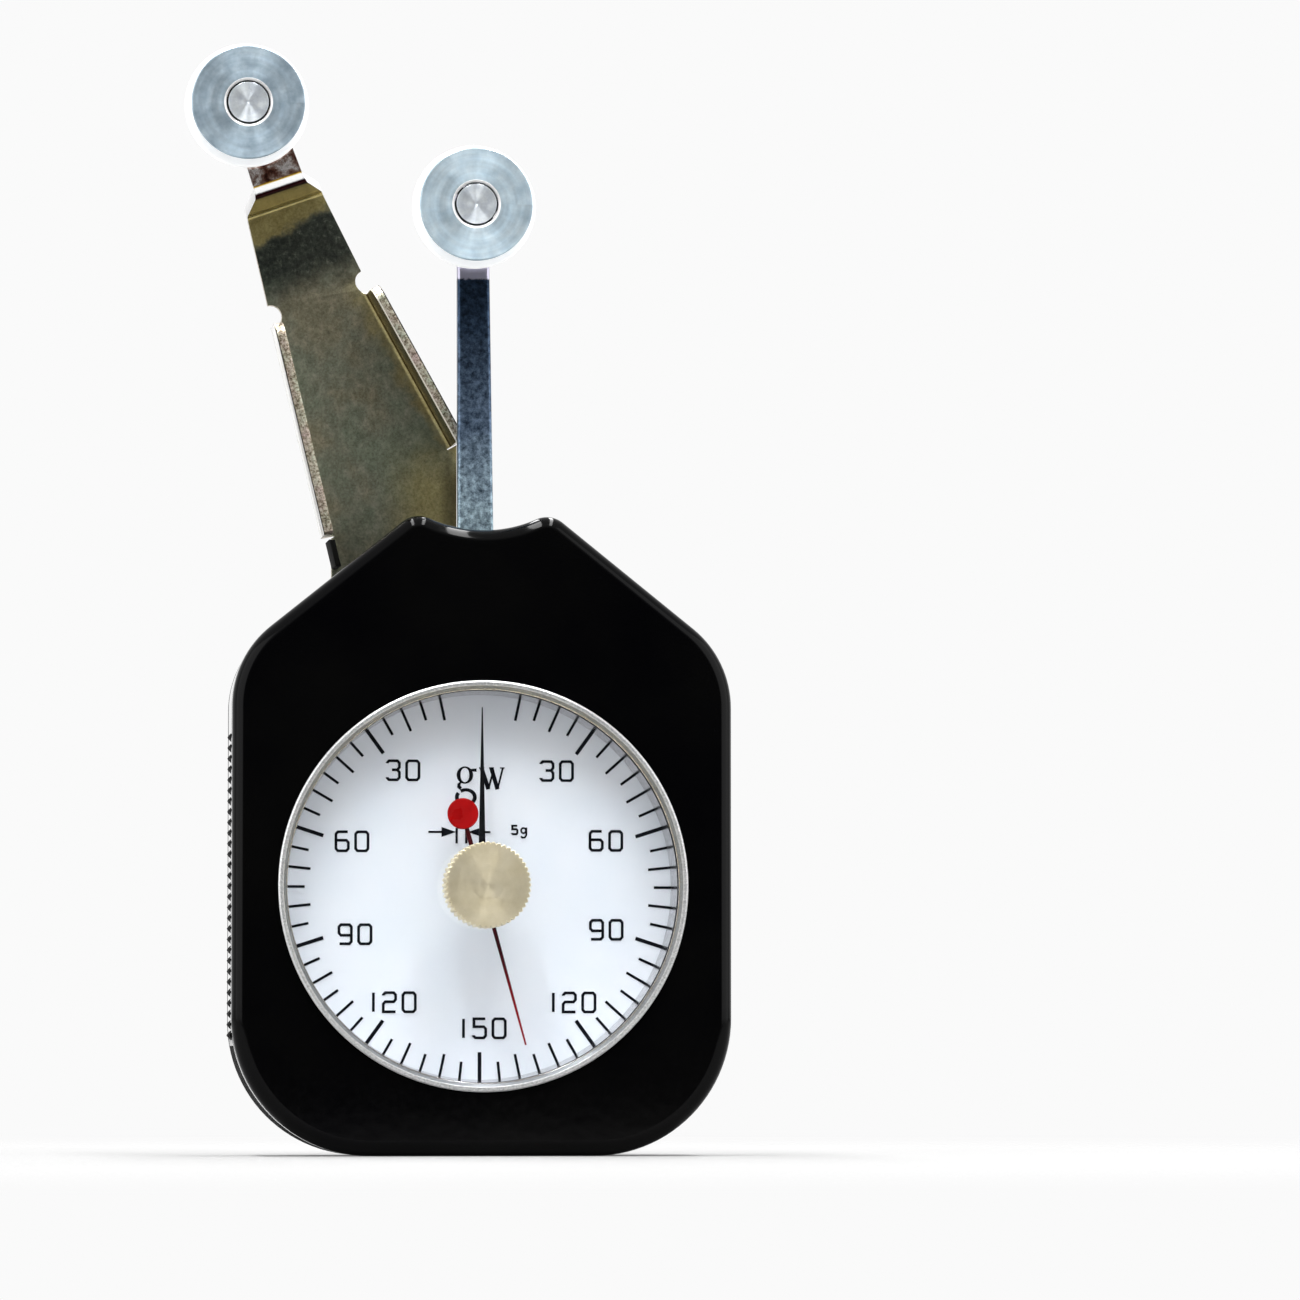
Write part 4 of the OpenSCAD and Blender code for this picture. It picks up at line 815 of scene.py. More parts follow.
def frontShell():
    # rings run from the inside of the seam over the rounded front edge to the window, and back inside
    f = caseForm
    r, wall, face, seam = f["frontRound"], f["wall"], f["faceY"], f["seamY"]
    rings = [(wall, seam), (wall - 0.1, seam), (0.12, seam), (0.04, seam - 0.03), (0.0, seam - 0.12)]
    rings += [(0.0, face + r + 0.1)]
    rings += [(r * (1 - math.cos(t)), face + r * (1 - math.sin(t))) for t in np.linspace(0, math.pi / 2, 13)]
    rings += [(r + 0.1, face)]
    rows = outlineRows(f, True, rings)
    flat = caseOutline(f, r + 0.1, True)
    hole, step, ledge = dialForm["sleeveRadius"] + 0.05, 1.25, dialForm["face"] - 1
    for radius, y in (
        (hole + 0.3, face), (hole + 0.08, face), (hole, face + 0.08), (hole, face + 0.3), (hole, ledge),
        (hole + step, ledge), (hole + step, face + wall),
    ):
        rows.append(circleRow(flat, radius, y))
    rows += outlineRows(f, True, [(wall + 0.1, face + wall), (wall, face + wall + 0.1)])
    mesh = gridMesh("front_shell", np.array(rows) * mm, wrapRows=True, wrapCols=True)
    return finishPiece("front_shell", mesh, finish["caseBlack"], "case", ("front_cover",), 30.0)


tubForm = {
    "polished": (6.3, 13.5),  # the gloss ends at this Y and this Z
    "postX": 25.0, "postZ": (16.0, 56.0), "postRadius": 2.7, "postFront": 2.3,
    "highBore": {"shaft": 1.0, "from": -7.5, "head": 1.9, "depth": 3.0, "chamfer": 0.5, "lead": 0.15},
    "lowBore": {"shaft": 0.85, "from": 7.0, "head": 1.6, "depth": 0.8, "chamfer": 0.4, "lead": 0.12},
    "lowScrew": (19.0, 14.0),
    "bracketSpots": [(-14.4, 58.05), (-4.6, 52.05), (-14.4, 48.05)], "bracketBore": 1.1,
    "slotX": 6.2, "slotZ": (73.2, 78.5), "slotY": (-0.2, 3.3), "slotEdge": 0.3, "middleZ": 36.0,
}


def roundBar(name, spot, radius, y0, y1):
    # a closed round bar for carving
    return turnedMesh(name, [(0, y0), (radius, y0), (radius, y1), (0, y1)], spot, 64, closed=False)


def steppedBore(bore, spot):
    # a screw's way in from the back: its shaft, its head's counterbore and the chamfer at the surface
    back = caseForm["backY"]
    seat, mouth, wide = back - bore["depth"], back - bore["lead"], bore["head"] + bore["chamfer"]
    profile = [
        (0, bore["from"]), (bore["shaft"], bore["from"]), (bore["shaft"], seat), (bore["head"], seat),
        (bore["head"], mouth), (wide, mouth + bore["chamfer"]), (wide, back + 1), (0, back + 1),
    ]
    return turnedMesh("bore", profile, spot, 64, closed=False)


def rearTub():
    f, t = caseForm, tubForm
    r, inset, wall, back, seam = f["backRound"], f["inset"], f["wall"], f["backY"], f["seamY"] + 0.02
    rings = [(inset, seam), (inset, t["polished"][0]), (inset, back - r - 0.1)]
    rings += [(inset + r * (1 - math.cos(a)), back - r * (1 - math.sin(a))) for a in np.linspace(0, math.pi / 2, 15)]
    rings += [(inset + r + 0.1, back)]
    outer = outlineRows(f, False, rings)
    inner = outlineRows(f, False, [(inset + wall, back - wall), (inset + wall, seam)])
    centre = lambda y: np.tile([0.0, y, t["middleZ"]], (len(outer[0]), 1))
    half = lambda row, y: row * 0.5 + centre(y) * 0.5
    rows = outer + [half(outer[-1], back), centre(back), centre(back - wall), half(inner[0], back - wall)] + inner
    skin = gridMesh("tubSkin", np.array(rows) * mm, wrapRows=True, wrapCols=True)
    posts, bores = [], []
    for x in (-t["postX"], t["postX"]):
        for z in t["postZ"]:
            posts.append(roundBar("post", (x, z), t["postRadius"], f["seamY"] + t["postFront"], back - wall / 2))
            bores.append(steppedBore(t["highBore"], (x, z)))
    lowX, lowZ = t["lowScrew"]
    bores += [steppedBore(t["lowBore"], (x, lowZ)) for x in (-lowX, lowX)]
    bores += [roundBar("bore", spot, t["bracketBore"], 7.0, back + 1) for spot in t["bracketSpots"]]
    (z0, z1), x, edge = t["slotZ"], t["slotX"], t["slotEdge"]
    bores.append(plateMesh("slot", [(-x, z0), (x, z0), (x, z1), (-x, z1)], *t["slotY"], edge, edge, 3))
    mesh = carve(skin, [("UNION", joinMeshes("posts", posts)), ("DIFFERENCE", joinMeshes("bores", bores))])
    # the side walls are polished, the rounded back and the underside are matt
    for face in mesh.polygons:
        face.material_index = int(face.center.y > t["polished"][0] * mm or face.center.z < t["polished"][1] * mm)
    return finishPiece("rear_tub", mesh, finish["tubBlack"], "case", ("rear_cover",), 32.0, finish["tubMatt"])


ribForm = {
    "count": 29, "lowest": 14.9, "pitch": 1.32, "proud": 0.1, "height": 0.5, "length": 6.2, "halfWidth": 0.45,
    "root": 0.35, "crest": 0.22,
}


def gripRibs():
    # straight ribs with a rounded crest: x = tip - height * (sqrt(w^2 + e^2) - e) across the width w from -1 to 1
    f, r = caseForm, ribForm
    w, e = np.linspace(-1, 1, 11), ribForm["crest"]
    crest = f["halfWidth"] + r["proud"] - r["height"] * (np.sqrt(w**2 + e**2) - e) / (math.sqrt(1 + e**2) - e)
    root = f["halfWidth"] - f["inset"] - r["root"]
    wide = r["halfWidth"] * r["pitch"]
    parts = []
    for side in (-1, 1):
        for k in range(r["count"]):
            z = r["lowest"] + k * r["pitch"]
            section = [(root, z - wide)] + list(zip(crest, z + w * wide)) + [(root, z + wide)]
            section = np.array(section) * [side, 1]
            parts.append(plateMesh("rib", section, f["seamY"] + 0.03, f["seamY"] + r["length"], 0.02, 0.1, 2))
    return finishPiece("grip_ribs", joinMeshes("grip_ribs", parts), finish["tubMatt"], "case", ("rear_cover",), 45.0)


frontShell()
rearTub()
gripRibs()
print("case made")

# dial window
bezelForm = {"front": -9.6, "rim": 0.55, "edge": 0.1, "groove": (-8.9, -7.5), "grooveDepth": 0.35, "outerEdge": 0.2}
crystalForm = {"bore": 1.65, "overlap": 0.3, "front": -8.9, "back": -7.9, "edge": 0.06}
knobForm = {
    "radius": 5.32, "length": 4.8, "front": -15.0, "flutes": 48, "depth": 0.28, "chamfer": 0.08, "land": 0.8,
    "neck": 2.2, "back": -9.3, "bore": 1.0, "cap": 1.2, "backEdge": 0.2,
}


def bezelRing():
    d, b = dialForm, bezelForm
    well, front, foot, outer = d["wellRadius"], b["front"], d["face"] - 0.1, d["bezelRadius"]
    near, far = b["groove"]
    deep, rim, edge = b["grooveDepth"], b["rim"], b["outerEdge"]
    profile = [
        (well - d["taper"], foot), (well, far), (well + deep, far), (well + deep, near), (well, near),
        (well, front + rim), (well + rim, front), (outer - edge, front), (outer, front + edge),
        (outer, caseForm["faceY"]), (d["sleeveRadius"], caseForm["faceY"]), (d["sleeveRadius"], foot),
    ]
    turnedPiece("bezel_ring", profile, (0, d["z"]), finish["bezelSatin"], "case", ("bezel",), b["edge"], 256)


def crystalPane():
    # held in the ring's groove
    c = crystalForm
    radius = dialForm["wellRadius"] + c["overlap"]
    profile = [(c["bore"], c["front"]), (radius, c["front"]), (radius, c["back"]), (c["bore"], c["back"])]
    turnedPiece("crystal_pane", profile, (0, dialForm["z"]), finish["acrylic"], "case", ("crystal",), c["edge"], 256)


def fluted(prof, radius, angle):
    # the rim swells and dips: r - depth * (1 - |cos(n a / 2)|), dying out within the outer land of the face
    k = knobForm
    full = np.clip((prof[:, 0] - (k["radius"] - k["land"])) / (k["land"] - k["chamfer"]), 0, 1)[:, None]
    dip = k["depth"] * (1 - np.abs(np.cos(k["flutes"] * angle / 2)))[None, :]
    return radius - full * dip


def resetKnob():
    k = knobForm
    front, rear, radius = k["front"], k["front"] + k["length"], k["radius"]
    profile = [
        (0, front), (radius - k["land"], front), (radius - k["chamfer"], front), (radius, front + k["chamfer"]),
        (radius, rear - k["backEdge"]), (radius - k["backEdge"], rear), (k["neck"], rear), (k["neck"], k["back"]),
        (k["bore"], k["back"]), (k["bore"], front + k["cap"]), (0, front + k["cap"]),
    ]
    turnedPiece(
        "reset_knob_fluted", profile, (0, dialForm["z"]), finish["knobBrass"], "peak", ("reset_knob",), 0.06, 576,
        closed=False, radiusOf=fluted, sharp=60.0,
    )


bezelRing()
crystalPane()
resetKnob()
print("window and knob made")

# dial print
c = 0.16  # cut corner
tall = 1.37
printForm = {"stroke": 0.34, "height": 2.36, "width": 1.54, "gap": 0.9, "y": -3.55, "thick": 0.045, "oneWidth": 0.42}
# strokes of a squared engraver's alphabet, in a box 1 wide and 1.37 high, with cut corners
glyphs = {
    "0": [[(c, 0), (1 - c, 0), (1, c), (1, tall - c), (1 - c, tall), (c, tall), (0, tall - c), (0, c), (c, 0)]],
    "1": [[(0.5, 0), (0.5, tall)]],
    "2": [[(0, 1.17), (0, tall - c), (c, tall), (1 - c, tall), (1, tall - c), (1, 0.72 + c), (1 - c, 0.72), (c, 0.72),
           (0, 0.72 - c), (0, 0), (1, 0)]],
    "3": [[(0, 1.2), (0, tall - c), (c, tall), (1 - c, tall), (1, tall - c), (1, 0.74 + c), (1 - c, 0.72), (0.4, 0.72)],
          [(1 - c, 0.72), (1, 0.7 - c), (1, c), (1 - c, 0), (c, 0), (0, c), (0, 0.18)]],
    "5": [[(0.97, tall), (0.05, tall), (0.05, 0.8), (1 - c, 0.8), (1, 0.8 - c), (1, c), (1 - c, 0), (c, 0), (0, c),
           (0, 0.18)]],
    "6": [[(0.95, tall), (c, tall), (0, tall - c), (0, c), (c, 0), (1 - c, 0), (1, c), (1, 0.76 - c), (1 - c, 0.76),
           (0, 0.76)]],
    "9": [[(0.05, 0), (1 - c, 0), (1, c), (1, tall - c), (1 - c, tall), (c, tall), (0, tall - c), (0, 0.61 + c),
           (c, 0.61), (1, 0.61)]],
}


def ink(path, widths):
    # a flat ribbon along a path with mitred corners, as thick as the ink
    pts = np.array(path, float)
    closed = bool(np.allclose(pts[0], pts[-1]))
    body = pts[:-1] if closed else pts
    after = np.roll(body, -1, 0) if closed else np.vstack([body[1:], 2 * body[-1] - body[-2]])
    before = np.roll(body, 1, 0) if closed else np.vstack([2 * body[0] - body[1], body[:-1]])
    step = mitres(before, body, after) * np.broadcast_to(np.asarray(widths, float), (len(body),))[:, None] / 2
    front, back = printForm["y"], printForm["y"] + printForm["thick"]
    left, right = body + step, body - step
    corners = [layFlat(left, front), layFlat(right, front), layFlat(right, back), layFlat(left, back)]
    mesh = gridMesh("stroke", np.stack(corners, 1) * mm, wrapRows=closed, wrapCols=True)
    if closed:
        return mesh
    return editMesh(mesh, lambda bm: bmesh.ops.holes_fill(bm, edges=[e for e in bm.edges if e.is_boundary], sides=4))


def numberStrokes(text, x, z):
    f = printForm
    w, h = f["width"], f["height"]
    step = [f["oneWidth"] * w if ch == "1" else w for ch in text]
    out, at = [], x - (sum(step) + f["gap"] * (len(text) - 1)) / 2
    for ch, wide in zip(text, step):
        for line in glyphs[ch]:
            path = np.array(line, float) * [w, h / tall] + [at, z - h / 2]
            if ch == "1":
                path[:, 0] += wide / 2 - 0.5 * w
            out.append(ink(path, f["stroke"]))
        at += wide + f["gap"]
    return out


def loopPath(centre, rx, rz, a0, a1, n):
    a = np.radians(np.linspace(a0, a1, n))
    return np.stack([centre[0] + rx * np.cos(a), centre[1] + rz * np.sin(a)], -1)


# gram-weight in a book face: thick sides and thin joins; places in mm from the dial's centre, then widths
unitForm = {
    "bowl": ((-1.87, 13.9), 0.79, 0.98, 0, 360, 41), "loop": ((-1.75, 11.15), 1.12, 0.92, 125, -215, 34),
    "link": ([(-2.3, 13.1), (-2.62, 12.75), (-2.62, 12.45), (-2.36, 12.22)], [0.2, 0.36, 0.42, 0.36]),
    "ear": ([(-1.32, 14.42), (-1.0, 14.52), (-0.42, 14.52)], [0.22, 0.34, 0.42]),
    "strokes": [
        ([(0.2, 14.8), (1.06, 12.15)], 0.52), ([(1.06, 12.15), (1.6, 14.2)], 0.24),
        ([(1.42, 14.8), (2.2, 12.15)], 0.52), ([(2.2, 12.15), (2.86, 14.8)], 0.24),
        ([(-0.1, 14.8), (0.55, 14.8)], 0.16), ([(1.15, 14.8), (1.75, 14.8)], 0.16), ([(2.5, 14.8), (3.08, 14.8)], 0.16),
    ],
}


def unitStrokes(z0):
    f = unitForm
    bowlWide = (0.2 + 0.28 * np.cos(np.radians(np.linspace(0, 360, 41))) ** 2)[:-1]
    loopWide = 0.38 + 0.1 * np.abs(np.cos(np.radians(np.linspace(125, -215, 34))))
    lines = [(loopPath(*f["bowl"]), bowlWide), f["link"], (loopPath(*f["loop"]), loopWide), f["ear"], *f["strokes"]]
    return [ink(np.array(path, float) + [0, z0], wide) for path, wide in lines]


def arrowMark(tail, tip, z):
    # a dimension arrow: a thin shaft and a solid head
    way = 1 if tip > tail else -1
    return [ink([(tail, z), (tip - way * 1.4, z)], 0.26), ink([(tip - way * 1.75, z), (tip, z)], [1.25, 0.04])]


def stepLegend(z):
    # two arrows that close on a pair of marks, and the weight of one scale step
    parts = arrowMark(-6.4, -3.02, z) + arrowMark(1.32, -1.42, z)
    parts += [ink([(x, z - 1.42), (x, z + 0.5)], 0.29) for x in (-2.89, -1.68)]
    parts += [ink(np.array(line) * [0.66, 0.76] + [4.02, z - 0.24], 0.25) for line in glyphs["5"]]
    tail = [(5.8, 0.58), (5.8, -0.35), (5.62, -0.66), (5.3, -0.68), (5.14, -0.5)]
    return parts + [ink(loopPath((5.45, z + 0.2), 0.3, 0.32, 0, 360, 21), 0.22), ink(np.array(tail) + [0, z], 0.23)]


numberPlaces = [
    ("30", -9.58, 14.45), ("30", 9.58, 14.45), ("60", -15.9, 5.62), ("60", 15.75, 5.8), ("90", -15.5, -5.88),
    ("90", 15.8, -5.26), ("120", -10.76, -14.28), ("120", 11.63, -14.28), ("150", 0.44, -17.5),
]
inkParts = []
for text, x, z in numberPlaces:
    inkParts += numberStrokes(text, x, z + dialForm["z"])
inkParts += unitStrokes(dialForm["z"]) + stepLegend(dialForm["z"] + 6.83)
finishPiece("dial_numbers", joinMeshes("dial_numbers", inkParts), finish["dialInk"], "case", (), 30.0)
print("dial print made:", len(inkParts), "strokes")

# rollers
rollerForm = {
    "disc": 7.05, "discFront": -3.9, "discBack": -3.0, "head": 2.63, "core": 4.8, "bore": 3.5, "ring": 7.72,
    "ringFront": -0.9, "ringBack": 0.2, "sink": 0.22, "shaft": 1.5, "headDepth": 0.8,
    "shaftEnd": {"fixed": 3.9, "lever": 4.2},
}


def makeRoller(which, wheelBody, axleBody):
    # each profile is (radius, y): the front disc, the grooved core, the white rear ring and the axle, whose
    # head is turned to a shallow cone with a centre mark left by the tailstock
    r, spot = rollerForm, shared["rollers"][which]
    front, rear, head, disc, bore = r["discFront"], r["discBack"], r["head"], r["disc"], r["bore"]
    y0, y1, ring, end = r["ringFront"], r["ringBack"], r["ring"], r["shaftEnd"][which]
    shaft, neck = r["shaft"], front + r["headDepth"]
    parts = {
        "disc": [
            (head + 0.1, front + r["sink"]), (head + 0.36, front), (head + 0.9, front), (disc - 0.1, front),
            (disc, front + 0.08), (disc, rear - 0.12), (disc - 0.12, rear), (head + 0.12, rear),
        ],
        "hub": [(bore, rear), (r["core"], rear), (r["core"], y0), (bore, y0)],
        "guard": [(bore, y0), (r["core"], y0), (ring - 0.2, y0 + 0.35), (ring, y0 + 0.55), (ring, y1), (bore, y1)],
        "pin": [
            (0, front + r["sink"]), (0.16, front + 0.12), (0.3, front + 0.1), (head - 0.14, front + 0.02),
            (head, front + 0.16), (head, neck), (shaft, neck), (shaft, end - 0.25), (shaft - 0.25, end), (0, end),
        ],
    }
    discFinish = "rollerDarker" if which == "fixed" else "rollerAluminium"
    for part, look, body, node, edge, segments in (
        ("disc", discFinish, wheelBody, "face", 0.04, 192), ("hub", "rollerAluminium", wheelBody, "core", 0.05, 128),
        ("guard", "whitePom", wheelBody, "ring", 0.1, 192), ("pin", "axleHead", axleBody, "axle", 0.04, 128),
    ):
        name, stands = f"{which}_roller_{part}", (f"{which}_roller_{node}",)
        turnedPiece(name, parts[part], spot, finish[look], body, stands, edge, segments, closed=part != "pin")


makeRoller("fixed", "fixed_roller", "case")
makeRoller("lever", "lever_roller", "lever")
print("rollers made")

# lever
leverForm = {
    "pivotZ": 66.05, "hub": 4.5, "width": 4.5, "topWidth": 3.95, "lean": 0.55, "caseTop": 76.4, "tipRadius": 2.7,
    "front": 0.8, "back": 2.3, "frontRoll": 0.42, "backRoll": 0.2, "hubEnd": 4.2, "tipStart": 2.2,
}


def leverStrip():
    # the plan: a round foot, a slightly tapered strip and a round end, offset through its thickness
    f = leverForm
    a = math.radians(f["lean"])
    up, right = np.array([-math.sin(a), math.cos(a)]), np.array([math.cos(a), math.sin(a)])
    pivot, end = np.array([0, f["pivotZ"]]), np.array(shared["rollers"]["lever"])
    neckUp = f["caseTop"] - f["pivotZ"]
    full = np.linalg.norm(end - pivot)

    def side(sign):
        low = np.linspace(f["hubEnd"], neckUp, 6)
        high = np.linspace(neckUp, full - f["tipStart"], 14)[1:]
        wide = f["width"] + (f["topWidth"] - f["width"]) * (high - neckUp) / (full - neckUp)
        u, w = np.concatenate([low, high]), np.concatenate([np.full(6, f["width"]), wide])
        return pivot + np.outer(u, up) + sign * np.outer(w / 2, right)

    foot = math.degrees(math.asin(f["width"] / 2 / f["hub"])) + 3
    head = math.degrees(math.asin(f["topWidth"] / 2 / f["tipRadius"])) + 4
    hub = arcPoints(pivot, f["hub"], 90 + f["lean"] + foot, 450 + f["lean"] - foot, 40)
    cap = arcPoints(end, f["tipRadius"], -90 + f["lean"] + head, 270 + f["lean"] - head, 28)
    outline = np.vstack([hub, side(1)[1:], cap, side(-1)[::-1][:-1]])
    mesh = plateMesh("lever_strip", outline, f["front"], f["back"], f["frontRoll"], f["backRoll"])
    return finishPiece("lever_strip", mesh, finish["leverZinc"], "lever", ("lever_arm",), 40.0)


leverStrip()
print("lever made")

# bracket
bracketForm = {
    "sheet": 1.2, "middle": 11.6, "tabMiddle": 1.4, "bend": 1.2, "flangeFront": 4.0, "burr": 0.1, "foldLines": 8,
    "x0": -17.4, "x1": -1.6, "z0": 44.05, "plateCorner": 3, "footZ": 77.56, "footCorner": 0.3, "slit": 0.15,
    # from the tab's tip, the roller's axle
    "leftRelief": (3.8, -25.25), "rightRelief": (15.95, -20.6), "leftShelf": (0.75, -12.6), "footDrop": 41.1,
    "relief": 1.45, "flangeRound": 1.8, "shelf": -11.7, "shelfRise": 1.1, "neckLeft": -3.5, "neckRight": 6.6,
    "tabRadius": 3.2, "tabLeft": -2.4, "tabRight": 3.8, "tabDrop": 6.8, "axleHole": 1.5, "screwHole": 1.1,
}


def bracketSheet():
    # the flat pattern is drawn first, cut along its bend lines and folded: within a bend of radius r,
    # a point at distance s past the tangent line goes to r sin(s/r) across and r (1 - cos(s/r)) forward
    f = bracketForm
    tip = np.array(shared["rollers"]["fixed"])
    lean = math.radians(shared["neckLean"])
    right = np.array([math.cos(lean), math.sin(lean)])
    up = np.array([-math.sin(lean), math.cos(lean)])
    bend = f["bend"]
    reach = f["middle"] - f["tabMiddle"]
    turn = math.atan2(reach, f["shelfRise"])
    tangent = bend * math.tan(turn / 2)
    arcLen = bend * turn
    shelfLen = math.hypot(reach, f["shelfRise"]) - 2 * tangent
    q0 = f["shelf"] - tangent
    q1 = q0 + arcLen
    q2 = q1 + shelfLen
    q3 = q2 + arcLen
    lift = q3 - (f["shelf"] + f["shelfRise"] + tangent)
    neck = lambda p, q: tip + right * p + up * q

    leftRelief, rightRelief, leftShelf = [tip + f[key] for key in ("leftRelief", "rightRelief", "leftShelf")]
    footZ = f["footZ"]
    leftDown = (leftRelief - leftShelf) / np.linalg.norm(leftRelief - leftShelf)
    leftFoot = leftRelief + leftDown * (leftRelief[1] - footZ) / -leftDown[1]
    rightFoot = np.array([f["x1"], tip[1] - f["footDrop"]])
    rightDown = (rightFoot - rightRelief) / np.linalg.norm(rightFoot - rightRelief)
    leftOut = np.array([leftDown[1], -leftDown[0]])  # down and to the right, so this points left
    rightOut = np.array([-rightDown[1], rightDown[0]])
    start = -0.2 - bend
    quarter = bend * math.pi / 2
    flat = start + quarter + (f["middle"] - bend - f["flangeFront"])
    r, cut, footCut = f["relief"], f["plateCorner"], f["footCorner"]

    def bite(centre, down, out, a0, a1):
        return [centre + r * (math.cos(t) * -down - math.sin(t) * out) for t in np.radians(np.linspace(a0, a1, 13))]

    def corner(at, along, out, sign):
        # a rounded outer corner of a flange: along points away from the cut end
        c = f["flangeRound"]
        middle = at + along * c + out * (flat - c)
        turns = np.radians(np.linspace(0, 90, 7))[::sign]
        return [middle - along * c * math.sin(t) + out * c * math.cos(t) for t in turns]

    slit = f["slit"]
    rim = [(f["x0"] + cut, f["z0"]), (f["x1"] - cut, f["z0"]), (f["x1"], f["z0"] + cut), (f["x1"], rightFoot[1] - 0.17)]
    rim += [rightFoot + rightDown * slit + rightOut * start, rightFoot + rightOut * start]
    rim += [rightFoot + rightOut * (flat - footCut), rightFoot - rightDown * footCut + rightOut * flat]
    rim += corner(rightRelief + rightDown * r, rightDown, rightOut, 1)
    rim += bite(rightRelief, rightDown, rightOut, 180, 0)
    rim += [neck(f["neckRight"], q0), neck(f["neckRight"] - 0.1, q1), neck(4.5, q2 - 0.5)]
    rim += [neck(f["tabRight"] + 0.1, q3 - 0.4), neck(f["tabRight"], lift - f["tabDrop"])]
    rim += [neck(x, z) for x, z in arcPoints((0, lift), f["tabRadius"], -10, 190, 24)]
    rim += [neck(f["tabLeft"], lift - f["tabDrop"]), neck(f["tabLeft"] - 0.1, q3 - 0.4), neck(-2.7, q2 - 0.5)]
    rim += [neck(f["neckLeft"] + 0.1, q1), neck(f["neckLeft"], q0)]
    rim += bite(leftRelief, leftDown, leftOut, 0, 180)
    rim += corner(leftRelief + leftDown * r, leftDown, leftOut, -1)
    rim += [leftFoot - leftDown * footCut + leftOut * flat, leftFoot + leftOut * (flat - footCut)]
    rim += [leftFoot + leftOut * start, leftFoot + leftOut * start + leftDown * slit]
    rim += [(f["x0"], footZ + 0.02), (f["x0"], f["z0"] + cut)]
    holes = [arcPoints(s, f["screwHole"], 0, 345, 23) for s in tubForm["bracketSpots"]]
    holes.append(np.array([neck(x, z) for x, z in arcPoints((0, lift), f["axleHole"], 0, 345, 23)]))

    curve = bpy.data.curves.new("bracketPattern", "CURVE")
    curve.dimensions = "2D"
    curve.fill_mode = "BOTH"
    for loop in [rim] + holes:
        line, n = curve.splines.new("POLY"), len(loop)
        line.points.add(n - 1)
        line.points.foreach_set("co", np.column_stack([np.array(loop), np.zeros(n), np.ones(n)]).ravel())
        line.use_cyclic_u = True
    pattern = linkedObject("bracketPattern", curve)
    bpy.context.view_layer.update()
    sheet = bpy.data.meshes.new_from_object(pattern)
    bpy.data.objects.remove(pattern)

    def creaseAll(bm):
        bmesh.ops.remove_doubles(bm, verts=bm.verts, dist=1e-4)
        for point, across, first, last in (
            (leftRelief, leftOut, start, start + quarter), (rightRelief, rightOut, start, start + quarter),
            (tip, up, q0, q1), (tip, up, q2, q3),
        ):
            for s in np.linspace(first, last, f["foldLines"]):
                at = point + across * s
                geometry = list(bm.verts) + list(bm.edges) + list(bm.faces)
                bmesh.ops.bisect_plane(bm, geom=geometry, dist=1e-5, plane_co=(*at, 0), plane_no=(*across, 0))
        bmesh.ops.triangulate(bm, faces=bm.faces)

    editMesh(sheet, creaseAll)
    co = np.zeros(len(sheet.vertices) * 3)
    sheet.vertices.foreach_get("co", co)
    co = co.reshape(-1, 3)[:, :2]
    out = layFlat(co, f["middle"])

    # flanges
    for relief, foot, down, away in (
        (leftRelief, leftFoot, leftDown, leftOut), (rightRelief, rightFoot, rightDown, rightOut),
    ):
        s = (co - relief) @ away
        t = (co - relief) @ down
        mine = (s > start) & (t > 0) & (t < np.linalg.norm(foot - relief) + 0.01)
        phi = np.clip((s - start) / bend, 0, math.pi / 2)
        across = start + bend * np.sin(phi)
        forward = bend * (1 - np.cos(phi)) + np.clip(s - start - quarter, 0, None)
        moved = co - away * s[:, None] + away * across[:, None]
        out[mine] = np.column_stack([moved[:, 0], f["middle"] - forward, moved[:, 1]])[mine]

    # neck: up the plate, forward along the shelf, up the tab
    p = (co - tip) @ right
    q = (co - tip) @ up
    a1 = np.clip((q - q0) / bend, 0, turn)
    run = np.clip(q - q1, 0, shelfLen)
    a2 = np.clip((q - q2) / bend, 0, turn)
    rest = np.clip(q - q3, 0, None)
    high = q0 + bend * np.sin(a1) + run * math.cos(turn) + bend * (np.sin(turn) - np.sin(turn - a2)) + rest
    fore = bend * (1 - np.cos(a1)) + run * math.sin(turn) + bend * (np.cos(turn - a2) - math.cos(turn))
    place = tip + np.outer(p, right) + np.outer(high, up)
    mine = q > q0
    out[mine] = np.column_stack([place[:, 0], f["middle"] - fore, place[:, 1]])[mine]
    sheet.vertices.foreach_set("co", (out * mm).ravel())
    sheet.update()

    sheet.materials.clear()
    sheet.materials.append(finish["bracketYellow"])
    sheet.materials.append(finish["bracketEdge"])
    base = linkedObject("bracketBase", sheet)
    wall = base.modifiers.new("sheet", "SOLIDIFY")
    wall.material_offset_rim = 1
    wall.thickness = f["sheet"] * mm
    wall.offset = 0
    wall.use_even_offset = True
    edge = base.modifiers.new("burr", "BEVEL")
    edge.width = f["burr"] * mm
    edge.segments = 2
    edge.limit_method = "ANGLE"
    edge.angle_limit = math.radians(50)
    return finishPiece(
        "bracket_sheet", appliedMesh(base), finish["bracketYellow"], "case", ("bracket",), 36.0, finish["bracketEdge"],
    )


padForm = {"width": 0.7, "edge": 0.15}


def padBlock():
    # the pad leans with the flange above it, from corner to corner of its CAD box
    (left, front, foot), (right, back, top) = np.array(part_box("bracket_pad")) / mm
    wide, edge = padForm["width"], padForm["edge"]
    plan = [(right - wide, foot), (right, foot), (left + wide, top), (left, top)]
    mesh = plateMesh("pad_block", plan, front, back, edge, edge, 3)
    return finishPiece("pad_block", mesh, finish["padBlack"], "case", ("bracket_pad",), 40.0)


bracketSheet()
padBlock()
print("bracket made")

